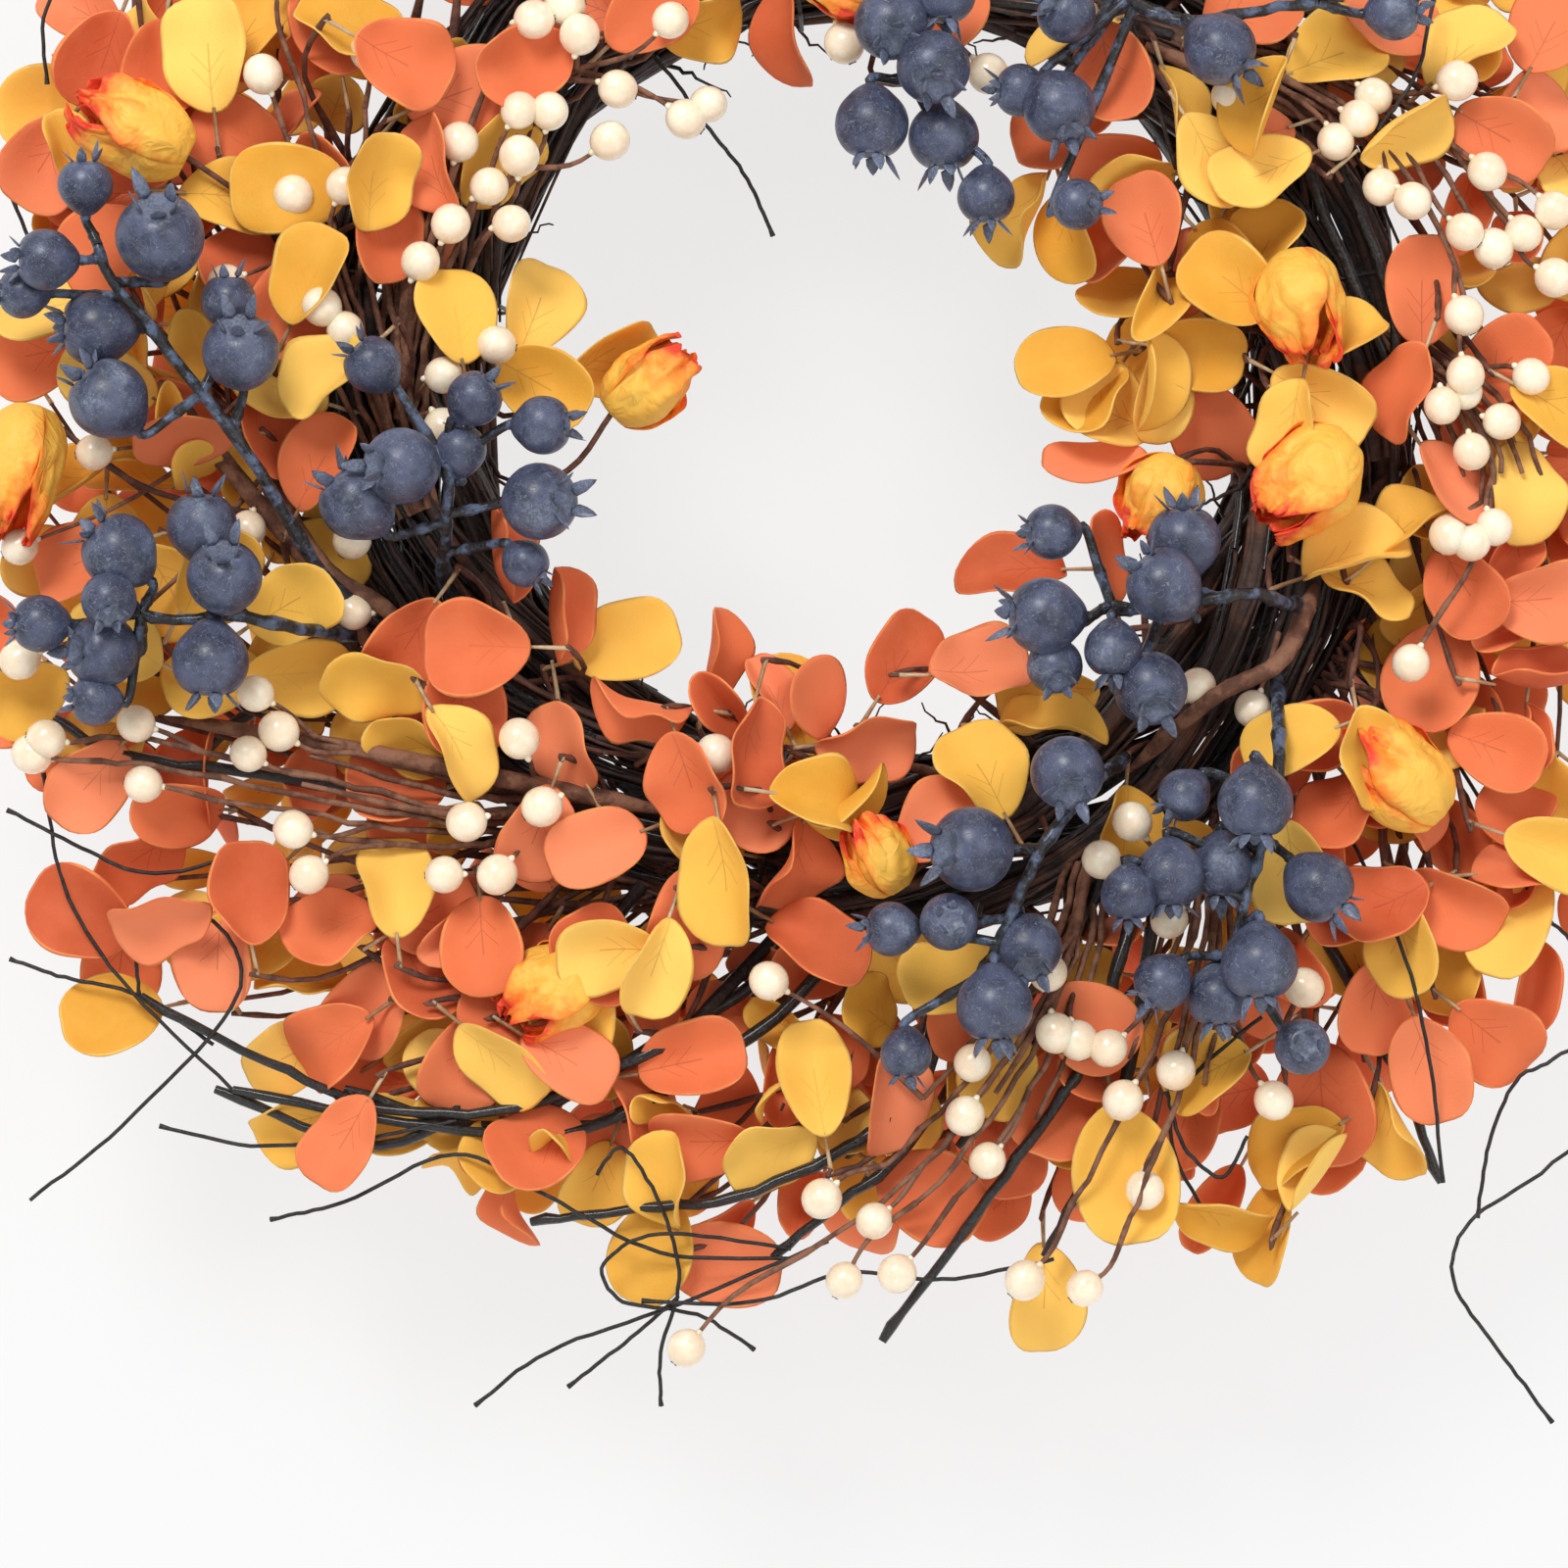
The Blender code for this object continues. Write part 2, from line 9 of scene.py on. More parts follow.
import logging
import math
import random
from dataclasses import dataclass
from enum import Enum
from typing import Any, Iterable, Sequence

import bmesh
import bpy
import numpy as np
from mathutils import Matrix, Vector, noise


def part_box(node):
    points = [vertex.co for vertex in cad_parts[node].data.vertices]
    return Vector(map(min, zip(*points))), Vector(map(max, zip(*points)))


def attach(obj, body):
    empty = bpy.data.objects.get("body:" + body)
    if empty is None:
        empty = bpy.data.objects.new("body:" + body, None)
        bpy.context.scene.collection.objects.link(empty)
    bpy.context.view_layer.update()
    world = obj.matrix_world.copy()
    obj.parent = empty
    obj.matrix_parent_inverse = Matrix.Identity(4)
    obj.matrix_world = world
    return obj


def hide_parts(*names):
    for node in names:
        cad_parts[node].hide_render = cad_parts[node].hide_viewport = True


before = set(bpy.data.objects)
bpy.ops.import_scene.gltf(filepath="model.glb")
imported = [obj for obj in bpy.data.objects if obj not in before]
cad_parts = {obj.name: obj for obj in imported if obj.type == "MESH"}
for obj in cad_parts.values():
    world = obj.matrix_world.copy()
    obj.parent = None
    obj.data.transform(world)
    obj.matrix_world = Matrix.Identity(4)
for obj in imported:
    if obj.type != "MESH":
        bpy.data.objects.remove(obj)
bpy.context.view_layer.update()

LOG = logging.getLogger("wreath")
MM = 0.001
# The base, in millimetres: the radius of its middle line, and of its round section.
CORE = 126.5
SECTION = 26.0
PICK_GAP = 0.9
FRONT = Vector((0.0, -1.0, 0.0))
_hoop_low, _hoop_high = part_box("hoop_wire")
CENTRE = (_hoop_low + _hoop_high) / 2

Point = tuple[float, ...]
Colour = tuple[float, float, float, float]


class LeafColour(Enum):
    """The two colours of foam leaf."""

    ORANGE = "orange"
    YELLOW = "yellow"


class Facing(Enum):
    """The way that the crown of a blueberry points: right, lift and up shares."""

    UP = (0.0, 0.15, 1.0)
    DOWN = (0.0, 0.1, -1.0)
    LEFT = (-1.0, 0.2, 0.0)
    RIGHT = (1.0, 0.2, 0.0)
    FRONT = (0.1, 1.0, 0.1)
    UP_LEFT = (-0.8, 0.2, 0.8)
    UP_RIGHT = (0.8, 0.2, 0.8)
    DOWN_LEFT = (-0.8, 0.2, -0.8)
    DOWN_RIGHT = (0.8, 0.2, -0.8)
    UP_FRONT = (0.0, 0.75, 0.8)
    DOWN_FRONT = (0.1, 0.8, -0.7)
    RIGHT_FRONT = (0.8, 0.7, 0.0)
    LEFT_FRONT = (-0.8, 0.7, 0.0)

    def vector(self) -> Vector:
        """The direction in the row frame."""
        right, lift, up = self.value
        return Vector((right, -lift, up)).normalized()


# ---------------------------------------------------------------------------
# Places and lines


def seat(x: float, z: float, lift: float) -> Vector:
    """A point of the plan in the row frame.

    Args:
        x: Millimetres to the right of the middle.
        z: Millimetres above the middle.
        lift: Millimetres towards the viewer.

    Returns:
        The point in metres.
    """
    return CENTRE + Vector((x * MM, -lift * MM, z * MM))


def polar(angle: float, radius: float, lift: float) -> Vector:
    """A point at an angle in radians, a radius and a lift in millimetres."""
    return seat(radius * math.cos(angle), radius * math.sin(angle), lift)


def rooted(route: Sequence[Point], reach: float) -> list[Vector]:
    """The points of a route whose first one lies on the base.

    Args:
        route: (x, z) on the base, then (x, z, lift).
        reach: How far the first point is from the middle of the base section.

    Returns:
        The points in the row frame.
    """
    x, z = route[0][:2]
    out = min(abs(math.hypot(x, z) - CORE), reach - 1.0)
    lift = math.sqrt(reach * reach - out * out)
    return [seat(x, z, lift), *(seat(*point) for point in route[1:])]


def smooth_line(points: Sequence[Vector], per_span: int) -> list[Vector]:
    """Points along the smooth curve through the given ones.

    Args:
        points: The points that the curve goes through.
        per_span: How many steps each stretch has.

    Returns:
        The points of the curve, the last given one included.
    """
    ends = [2 * points[0] - points[1], *points, 2 * points[-1] - points[-2]]
    line = []
    for i in range(len(points) - 1):
        p0, p1, p2, p3 = ends[i : i + 4]
        for step in range(per_span):
            t = step / per_span
            bend = (2 * p0 - 5 * p1 + 4 * p2 - p3) * t * t
            twist = (3 * p1 - p0 - 3 * p2 + p3) * t**3
            line.append(0.5 * (2 * p1 + (p2 - p0) * t + bend + twist))
    return [*line, points[-1].copy()]


def tapered(count: int, first: float, last: float) -> list[float]:
    """Radii in metres from first to last, which are in millimetres."""
    return [(first + (last - first) * i / max(1, count - 1)) * MM for i in range(count)]


def knobbly(radii: Sequence[float], every: int, growth: float) -> list[float]:
    """The radii with each one of every so many grown, as at the knobs of a stem."""
    return [r * (growth if i % every == every // 2 else 1.0) for i, r in enumerate(radii)]


def wander(line: Sequence[Vector], amount: float, rng: random.Random) -> list[Vector]:
    """The line with its points moved at random.

    Args:
        line: The points in metres.
        amount: The most that a point moves along each axis, in millimetres.
        rng: Draws the moves.

    Returns:
        The moved points; the first one stays.
    """
    moved = [line[0].copy()]
    for point in line[1:]:
        step = Vector((rng.uniform(-1, 1), rng.uniform(-1, 1), rng.uniform(-1, 1)))
        moved.append(point + step * amount * MM)
    return moved


def turned_to(along: Vector, facing: Vector) -> Matrix:
    """A rotation that takes +X to along and +Z near to facing."""
    x = along.normalized()
    y = facing.cross(x)
    if y.length < 1e-6:
        y = Vector((0.0, 0.0, 1.0)).cross(x)
    y.normalize()
    return Matrix((x, y, x.cross(y))).transposed().to_4x4()


def heading(degrees: float) -> Vector:
    """The direction at an angle on the plan."""
    a = math.radians(degrees)
    return Vector((math.cos(a), 0.0, math.sin(a)))


# ---------------------------------------------------------------------------
# Shader nodes


def srgb(red: float, green: float, blue: float) -> Colour:
    """A colour from 0 to 255 as linear red, green, blue and alpha."""

    def linear(value: float) -> float:
        """One channel made linear."""
        share = value / 255
        return share / 12.92 if share <= 0.04045 else ((share + 0.055) / 1.055) ** 2.4

    return (linear(red), linear(green), linear(blue), 1.0)


def plug(tree: bpy.types.NodeTree, socket: bpy.types.NodeSocket, value: Any) -> None:
    """Joins value to the socket, or sets it there when it is a constant."""
    if isinstance(value, bpy.types.NodeSocket):
        tree.links.new(value, socket)
    else:
        socket.default_value = value


def node(tree: bpy.types.NodeTree, kind: str, inputs: dict | None = None, **settings: Any) -> Any:
    """Adds a shader node.

    Args:
        tree: The tree that it goes in.
        kind: The node's type.
        inputs: Socket names or indices and what goes in them.
        settings: Properties of the node.

    Returns:
        The node.
    """
    made = tree.nodes.new(kind)
    for key, value in settings.items():
        setattr(made, key, value)
    for key, value in (inputs or {}).items():
        plug(tree, made.inputs[key], value)
    return made


def sums(tree: bpy.types.NodeTree, operation: str, *values: Any, clamp: bool = False) -> Any:
    """The result of a Math node on one to three values."""
    return node(
        tree, "ShaderNodeMath", dict(enumerate(values)), operation=operation, use_clamp=clamp
    ).outputs[0]


def mixed(tree: bpy.types.NodeTree, share: Any, first: Any, second: Any) -> Any:
    """The colour between first and second at that share."""
    made = node(tree, "ShaderNodeMix", {0: share, 6: first, 7: second}, data_type="RGBA")
    return made.outputs[2]


def between(tree: bpy.types.NodeTree, value: Any, low: float, high: float) -> Any:
    """0 below low, 1 above high and smooth in between."""
    made = node(
        tree, "ShaderNodeMapRange", {0: value, 1: low, 2: high}, interpolation_type="SMOOTHSTEP"
    )
    return made.outputs[0]


def new_group(name: str, inputs: dict[str, float], outputs: Iterable[str]) -> Any:
    """Starts a shader node group with float sockets.

    Args:
        name: The group's name.
        inputs: The names and defaults of its inputs.
        outputs: The names of its outputs.

    Returns:
        The group's tree, its input node and its output node.
    """
    tree = bpy.data.node_groups.new(name, "ShaderNodeTree")
    for key, default in inputs.items():
        socket = tree.interface.new_socket(key, in_out="INPUT", socket_type="NodeSocketFloat")
        socket.default_value = default
    for key in outputs:
        tree.interface.new_socket(key, in_out="OUTPUT", socket_type="NodeSocketFloat")
    return tree, tree.nodes.new("NodeGroupInput"), tree.nodes.new("NodeGroupOutput")


class Effects:
    """The shared shader node groups, each built once."""

    def __init__(self) -> None:
        """Builds the groups."""
        self.mottle = self._mottle()
        self.fibres = self._fibres()
        self.veins = self._veins()

    @staticmethod
    def _mottle() -> Any:
        """Patches from 0 to 1 in object space."""
        tree, given, out = new_group("mottle", {"Scale": 60.0, "Low": 0.4, "High": 0.6}, ["Mask"])
        place = node(tree, "ShaderNodeTexCoord").outputs["Object"]
        grain = node(
            tree,
            "ShaderNodeTexNoise",
            {"Vector": place, "Scale": given.outputs["Scale"], "Detail": 5.0, "Roughness": 0.6},
        )
        ranged = node(
            tree,
            "ShaderNodeMapRange",
            {0: grain.outputs[0], 1: given.outputs["Low"], 2: given.outputs["High"]},
            interpolation_type="SMOOTHSTEP",
        )
        plug(tree, out.inputs["Mask"], ranged.outputs[0])
        return tree

    @staticmethod
    def _fibres() -> Any:
        """Thin wandering scratches, 1 on each and 0 between them."""
        tree, given, out = new_group("fibres", {"Scale": 400.0, "Width": 0.02}, ["Mask"])
        place = node(tree, "ShaderNodeTexCoord").outputs["Object"]
        total: Any = 0.0
        for shift in (0.0, 3.7):
            moved = node(
                tree, "ShaderNodeVectorMath", {0: place, 1: (shift, shift, shift)}, operation="ADD"
            )
            grain = node(
                tree,
                "ShaderNodeTexNoise",
                {
                    "Vector": moved.outputs[0],
                    "Scale": given.outputs["Scale"],
                    "Detail": 2.0,
                    "Distortion": 1.4,
                },
            )
            off = sums(tree, "ABSOLUTE", sums(tree, "SUBTRACT", grain.outputs[0], 0.5))
            near = sums(tree, "DIVIDE", off, given.outputs["Width"])
            line = sums(tree, "SUBTRACT", 1.0, near, clamp=True)
            total = sums(tree, "MAXIMUM", total, line)
        plug(tree, out.inputs["Mask"], total)
        return tree

    @staticmethod
    def _veins() -> Any:
        """The printed mid-vein and side veins of a leaf, from its own map."""
        tree, _, out = new_group("leaf_veins", {}, ["Mask"])
        map_ = node(tree, "ShaderNodeUVMap", uv_map="UVMap")
        split = node(tree, "ShaderNodeSeparateXYZ", {0: map_.outputs[0]})
        along = split.outputs[0]
        off = sums(tree, "ABSOLUTE", sums(tree, "SUBTRACT", split.outputs[1], 0.5))
        middle = sums(tree, "SUBTRACT", 1.0, sums(tree, "DIVIDE", off, 0.014), clamp=True)
        middle = sums(tree, "MULTIPLY", middle, sums(tree, "LESS_THAN", along, 0.58))
        slant = sums(tree, "SUBTRACT", along, sums(tree, "MULTIPLY", off, 0.85))
        step = sums(tree, "PINGPONG", sums(tree, "SUBTRACT", slant, 0.06), 0.07)
        side = sums(tree, "SUBTRACT", 1.0, sums(tree, "DIVIDE", step, 0.009), clamp=True)
        reach = sums(tree, "LESS_THAN", off, 0.2)
        reach = sums(tree, "MULTIPLY", reach, sums(tree, "LESS_THAN", slant, 0.42))
        reach = sums(tree, "MULTIPLY", reach, sums(tree, "GREATER_THAN", slant, 0.1))
        plug(tree, out.inputs["Mask"], sums(tree, "MAXIMUM", middle, sums(tree, "MULTIPLY", side, reach)))
        return tree


def use(tree: bpy.types.NodeTree, group: Any, **inputs: float) -> Any:
    """The mask that a group gives with these inputs."""
    made = node(tree, "ShaderNodeGroup", node_tree=group)
    for key, value in inputs.items():
        made.inputs[key].default_value = value
    return made.outputs["Mask"]


def new_material(name: str) -> tuple[bpy.types.Material, Any, Any]:
    """A material, its tree and its Principled node."""
    material = bpy.data.materials.new(name)
    material.use_nodes = True
    tree = material.node_tree
    return material, tree, tree.nodes["Principled BSDF"]


def bump(tree: bpy.types.NodeTree, shader: Any, height: Any, depth: float, strength: float) -> None:
    """Gives the shader a bumped normal.

    Args:
        tree: The material's tree.
        shader: Its Principled node.
        height: The height socket.
        depth: How deep the bumps are, in metres.
        strength: The share of the bump that is used.
    """
    made = node(tree, "ShaderNodeBump", {"Strength": strength, "Distance": depth, "Height": height})
    plug(tree, shader.inputs["Normal"], made.outputs["Normal"])


@dataclass(frozen=True)
class PatchyFinish:
    """A material with patches of a second colour and a fine bump."""

    name: str
    base: Colour
    patch: Colour
    scale: float = 90.0
    low: float = 0.4
    high: float = 0.6
    rough: float = 0.6
    grain: float = 500.0
    depth: float = 0.0004
    coat: float = 0.0
    metallic: float = 0.0
    subsurface: float = 0.0

    def build(self, effects: Effects) -> bpy.types.Material:
        """The material."""
        material, tree, shader = new_material(self.name)
        mask = use(tree, effects.mottle, Scale=self.scale, Low=self.low, High=self.high)
        fine = use(tree, effects.mottle, Scale=self.grain, Low=0.3, High=0.7)
        plug(tree, shader.inputs["Base Color"], mixed(tree, mask, self.base, self.patch))
        rough = sums(tree, "ADD", self.rough, sums(tree, "MULTIPLY", fine, 0.12), clamp=True)
        plug(tree, shader.inputs["Roughness"], rough)
        shader.inputs["Metallic"].default_value = self.metallic
        shader.inputs["Coat Weight"].default_value = self.coat
        shader.inputs["Coat Roughness"].default_value = 0.15
        if self.subsurface:
            shader.inputs["Subsurface Weight"].default_value = self.subsurface
            shader.inputs["Subsurface Scale"].default_value = 0.003
        bump(tree, shader, fine, self.depth, 0.6)
        return material


@dataclass(frozen=True)
class LeafFinish:
    """Matte foam with printed veins; each leaf has its own tint."""

    name: str
    shade: Colour
    base: Colour
    light: Colour
    vein: Colour

    def build(self, effects: Effects) -> bpy.types.Material:
        """The material."""
        material, tree, shader = new_material(self.name)
        tint = node(tree, "ShaderNodeAttribute", attribute_name="tint").outputs["Fac"]
        colour = mixed(tree, between(tree, tint, 0.0, 0.5), self.shade, self.base)
        colour = mixed(tree, between(tree, tint, 0.5, 1.0), colour, self.light)
        cloud = use(tree, effects.mottle, Scale=70.0, Low=0.3, High=0.75)
        colour = mixed(tree, sums(tree, "MULTIPLY", cloud, 0.22), colour, self.light)
        printed = sums(tree, "MULTIPLY", use(tree, effects.veins), 0.5)
        marked = sums(tree, "FRACT", sums(tree, "MULTIPLY", tint, 7.0))
        printed = sums(tree, "MULTIPLY", printed, between(tree, marked, 0.25, 0.6))
        plug(tree, shader.inputs["Base Color"], mixed(tree, printed, colour, self.vein))
        shader.inputs["Roughness"].default_value = 0.72
        shader.inputs["Specular IOR Level"].default_value = 0.25
        shader.inputs["Subsurface Weight"].default_value = 0.12
        shader.inputs["Subsurface Scale"].default_value = 0.002
        fine = use(tree, effects.mottle, Scale=1500.0, Low=0.2, High=0.8)
        bump(tree, shader, fine, 0.0001, 0.5)
        return material


@dataclass(frozen=True)
class BlueberryFinish:
    """Indigo moulding with pale scratches and patches of bloom."""

    name: str
    base: Colour
    dark: Colour
    bloom: Colour
    scratch: Colour

    def build(self, effects: Effects) -> bpy.types.Material:
        """The material."""
        material, tree, shader = new_material(self.name)
        cloud = use(tree, effects.mottle, Scale=130.0, Low=0.35, High=0.65)
        colour = mixed(tree, cloud, self.dark, self.base)
        patch = use(tree, effects.mottle, Scale=70.0, Low=0.52, High=0.78)
        speck = use(tree, effects.mottle, Scale=1300.0, Low=0.42, High=0.6)
        worn = sums(tree, "ADD", 0.35, sums(tree, "MULTIPLY", speck, 0.65))
        patch = sums(tree, "MULTIPLY", patch, worn)
        colour = mixed(tree, sums(tree, "MULTIPLY", patch, 0.62), colour, self.bloom)
        lines = use(tree, effects.fibres, Scale=330.0, Width=0.012)
        colour = mixed(tree, sums(tree, "MULTIPLY", lines, 0.42), colour, self.scratch)
        tip = node(tree, "ShaderNodeAttribute", attribute_name="tint").outputs["Fac"]
        tip = sums(tree, "MULTIPLY", tip, sums(tree, "ADD", 0.3, sums(tree, "MULTIPLY", speck, 0.5)))
        colour = mixed(tree, tip, colour, self.bloom)
        plug(tree, shader.inputs["Base Color"], colour)
        rough = sums(tree, "ADD", 0.36, sums(tree, "MULTIPLY", patch, 0.35))
        plug(tree, shader.inputs["Roughness"], rough)
        shader.inputs["Specular IOR Level"].default_value = 0.5
        bump(tree, shader, lines, 0.0002, 0.5)
        return material


@dataclass(frozen=True)
class BudFinish:
    """Crinkled paper petals, yellow-orange with red tips and edges."""

    name: str
    body: Colour
    warm: Colour
    tip: Colour

    def build(self, effects: Effects) -> bpy.types.Material:
        """The material."""
        material, tree, shader = new_material(self.name)
        tint = node(tree, "ShaderNodeAttribute", attribute_name="tint").outputs["Fac"]
        cloud = use(tree, effects.mottle, Scale=160.0, Low=0.3, High=0.7)
        share = sums(tree, "ADD", tint, sums(tree, "MULTIPLY", sums(tree, "SUBTRACT", cloud, 0.5), 0.45))
        colour = mixed(tree, between(tree, share, 0.15, 0.65), self.body, self.warm)
        colour = mixed(tree, between(tree, share, 0.62, 1.0), colour, self.tip)
        plug(tree, shader.inputs["Base Color"], colour)
        shader.inputs["Roughness"].default_value = 0.6
        shader.inputs["Subsurface Weight"].default_value = 0.2
        shader.inputs["Subsurface Scale"].default_value = 0.002
        veins = use(tree, effects.fibres, Scale=75.0, Width=0.16)
        bump(tree, shader, veins, 0.0007, 0.5)
        return material


class Finishes:
    """Every material of the wreath, built once."""

    def __init__(self) -> None:
        """Builds the materials."""
        effects = Effects()
        looks = [
            LeafFinish(
                "orange_foam", srgb(196, 88, 50), srgb(226, 116, 70), srgb(240, 140, 98),
                srgb(140, 56, 34),
            ),
            LeafFinish(
                "yellow_foam", srgb(220, 156, 50), srgb(243, 186, 78), srgb(250, 202, 102),
                srgb(140, 88, 30),
            ),
            PatchyFinish("orange_edge", srgb(234, 140, 80), srgb(222, 116, 66), rough=0.75, depth=0.0001),
            PatchyFinish("yellow_edge", srgb(238, 190, 96), srgb(226, 172, 74), rough=0.75, depth=0.0001),
            PatchyFinish("petiole", srgb(196, 170, 132), srgb(150, 112, 74), rough=0.4, coat=0.3),
            PatchyFinish("leaf_stem", srgb(112, 68, 50), srgb(76, 44, 34), scale=220.0, rough=0.6),
            PatchyFinish("paper_stem", srgb(138, 96, 73), srgb(94, 58, 42), scale=160.0, rough=0.75),
            PatchyFinish("dark_twig", srgb(54, 39, 34), srgb(104, 68, 50), scale=60.0, low=0.45, high=0.7),
            PatchyFinish("black_twig", srgb(15, 13, 13), srgb(46, 36, 31), scale=320.0, low=0.5, high=0.72,
                         rough=0.3, grain=700.0, depth=0.0009, coat=0.4),
            PatchyFinish("wire", srgb(13, 12, 12), srgb(36, 32, 30), scale=300.0, rough=0.4),
            PatchyFinish("binding", srgb(60, 58, 56), srgb(28, 26, 26), scale=200.0, rough=0.35,
                         metallic=0.8),
            PatchyFinish("cream", srgb(250, 235, 210), srgb(242, 220, 190), scale=120.0, rough=0.22,
                         depth=0.00005, coat=0.5, subsurface=0.25),
            PatchyFinish("berry_eye", srgb(92, 56, 34), srgb(50, 28, 18), scale=900.0, rough=0.7),
            BlueberryFinish("blueberry", srgb(76, 82, 108), srgb(46, 50, 70), srgb(158, 170, 190),
                            srgb(164, 172, 186)),
            PatchyFinish("blue_stem", srgb(82, 96, 122), srgb(20, 21, 27), scale=190.0, low=0.4, high=0.54,
                         rough=0.35, grain=600.0, depth=0.0008, coat=0.3),
            BudFinish("bud_paper", srgb(250, 186, 74), srgb(250, 142, 44), srgb(228, 62, 26)),
        ]
        self._made = {look.name: look.build(effects) for look in looks}

    def __getitem__(self, name: str) -> bpy.types.Material:
        """The material with that name."""
        return self._made[name]


# ---------------------------------------------------------------------------
# Pieces


def stand(
    obj: bpy.types.Object, body: str, slot_name: str, nodes: Sequence[str], *materials: bpy.types.Material
) -> None:
    """Puts a piece in the scene on its body.

    Args:
        obj: The piece.
        body: The CAD body that it rides on.
        slot_name: The record's material slot; not used.
        nodes: The CAD nodes that it stands for.
        materials: Its materials in order.
    """
    for material in materials:
        obj.data.materials.append(material)
    bpy.context.scene.collection.objects.link(obj)
    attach(obj, body)
    if nodes:
        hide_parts(*nodes)
    LOG.info("%s rides %s", obj.name, body)


class Crowd:
    """What already stands on the wreath, so that leaves can be laid clear of it.

    A leaf is tested against what is near its middle. Lengths are in metres.
    """

    near = 0.024
    near_leaf = 0.03
    near_stem = 0.016
    touch = 0.0005
    strand_weight = 0.6
    ball_weight = 1.5

    def __init__(self) -> None:
        """Starts empty."""
        self._noted: list[list] = [[], [], [], []]
        self._packed: list[np.ndarray] = []
        self._shapes: list["LeafShape"] = []

    def _note(self, kind: int, thing: Any) -> None:
        """Keeps a start, an end, a ball or a leaf."""
        self._noted[kind].append(thing)
        self._packed = []

    def add_line(self, line: Sequence[Vector]) -> None:
        """Notes a strand."""
        for first, second in zip(line, line[1:]):
            self._note(0, tuple(first))
            self._note(1, tuple(second))

    def add_ball(self, place: Vector, radius: float) -> None:
        """Notes a berry or a bud."""
        self._note(2, (*place, radius))

    def add_leaf(self, shape: "LeafShape", points: np.ndarray) -> None:
        """Notes a leaf and the points of its mesh."""
        self._shapes.append(shape)
        self._note(3, points)

    def pierced(self, line: Sequence[Vector]) -> int:
        """How many times a strand would go through a leaf."""
        points = np.array(line)
        total = 0
        for shape in self._shapes:
            if np.linalg.norm(points - shape.middle(), axis=1).min() < self.near_stem:
                over, inside = shape.above(points)
                total += int(np.sum(inside[1:] & inside[:-1] & (over[1:] * over[:-1] < 0)))
        return total

    def crossings(self, shape: "LeafShape") -> float:
        """How many strands, balls and leaves a leaf of that shape would pass through."""
        if not self._packed:
            self._packed = [np.array(things) for things in self._noted]
        starts, ends, balls, stack = self._packed
        score = 0.0
        middle = shape.middle()
        if len(starts):
            close = np.linalg.norm((starts + ends) / 2 - middle, axis=1) < self.near
            if close.any():
                first, in_first = shape.above(starts[close])
                second, in_second = shape.above(ends[close])
                score += self.strand_weight * np.sum((in_first & in_second) & (first * second < 0))
        if len(balls):
            close = np.linalg.norm(balls[:, :3] - middle, axis=1) < self.near
            if close.any():
                over, inside = shape.above(balls[close][:, :3])
                score += self.ball_weight * np.sum(inside & (np.abs(over) < balls[close][:, 3]))
        if len(stack):
            close = np.linalg.norm(stack.mean(axis=1) - middle, axis=1) < self.near_leaf
            if close.any():
                chosen = stack[close]
                over, inside = shape.above(chosen.reshape(-1, 3))
                over, inside = over.reshape(len(chosen), -1), inside.reshape(len(chosen), -1)
                highest = np.where(inside, over, -1.0).max(axis=1)
                lowest = np.where(inside, over, 1.0).min(axis=1)
                score += np.sum((highest > self.touch) & (lowest < -self.touch))
                points = shape.carried(SAMPLES)
                for k in np.flatnonzero(close):
                    over, inside = self._shapes[k].above(points)
                    if inside.any():
                        score += over[inside].max() > self.touch and over[inside].min() < -self.touch
        return float(score)


CROWD = Crowd()
# Points of the square that a leaf is made from, to test it with.
SAMPLES = np.array([(x / 5, y / 4) for x in range(-5, 6) for y in range(-4, 5)])


class Strands:
    """Round strands that share one curve."""

    def __init__(self, name: str, sides: int = 1, solid: bool = True) -> None:
        """An empty curve.

        Args:
            name: The piece's name.
            sides: Its bevel resolution.
            solid: Whether leaves are laid clear of it.
        """
        self.name = name
        self.solid = solid
        self.looks: list[int] = []
        self.curve = bpy.data.curves.new(name, "CURVE")
        self.curve.dimensions = "3D"
        self.curve.bevel_depth = 1.0
        self.curve.bevel_resolution = sides
        self.curve.use_fill_caps = True

    def add(self, line: Sequence[Vector], radii: Sequence[float], look: int = 0) -> None:
        """Adds a strand.

        Args:
            line: Its points in metres.
            radii: Its radius at each point, in metres.
            look: Which of the curve's materials it has.
        """
        spline = self.curve.splines.new("POLY")
        spline.points.add(len(line) - 1)
        for point, place, radius in zip(spline.points, line, radii):
            point.co = (*place, 1.0)
            point.radius = radius
        self.looks.append(look)
        spline.use_smooth = True
        if self.solid:
            CROWD.add_line(line)

    def finish(
        self, body: str, slot_name: str, nodes: Sequence[str], *materials: bpy.types.Material
    ) -> None:
        """Finishes the piece; the arguments are those of stand."""
        obj = bpy.data.objects.new(self.name, self.curve)
        stand(obj, body, slot_name, nodes, *materials)
        for spline, look in zip(self.curve.splines, self.looks):
            spline.material_index = look


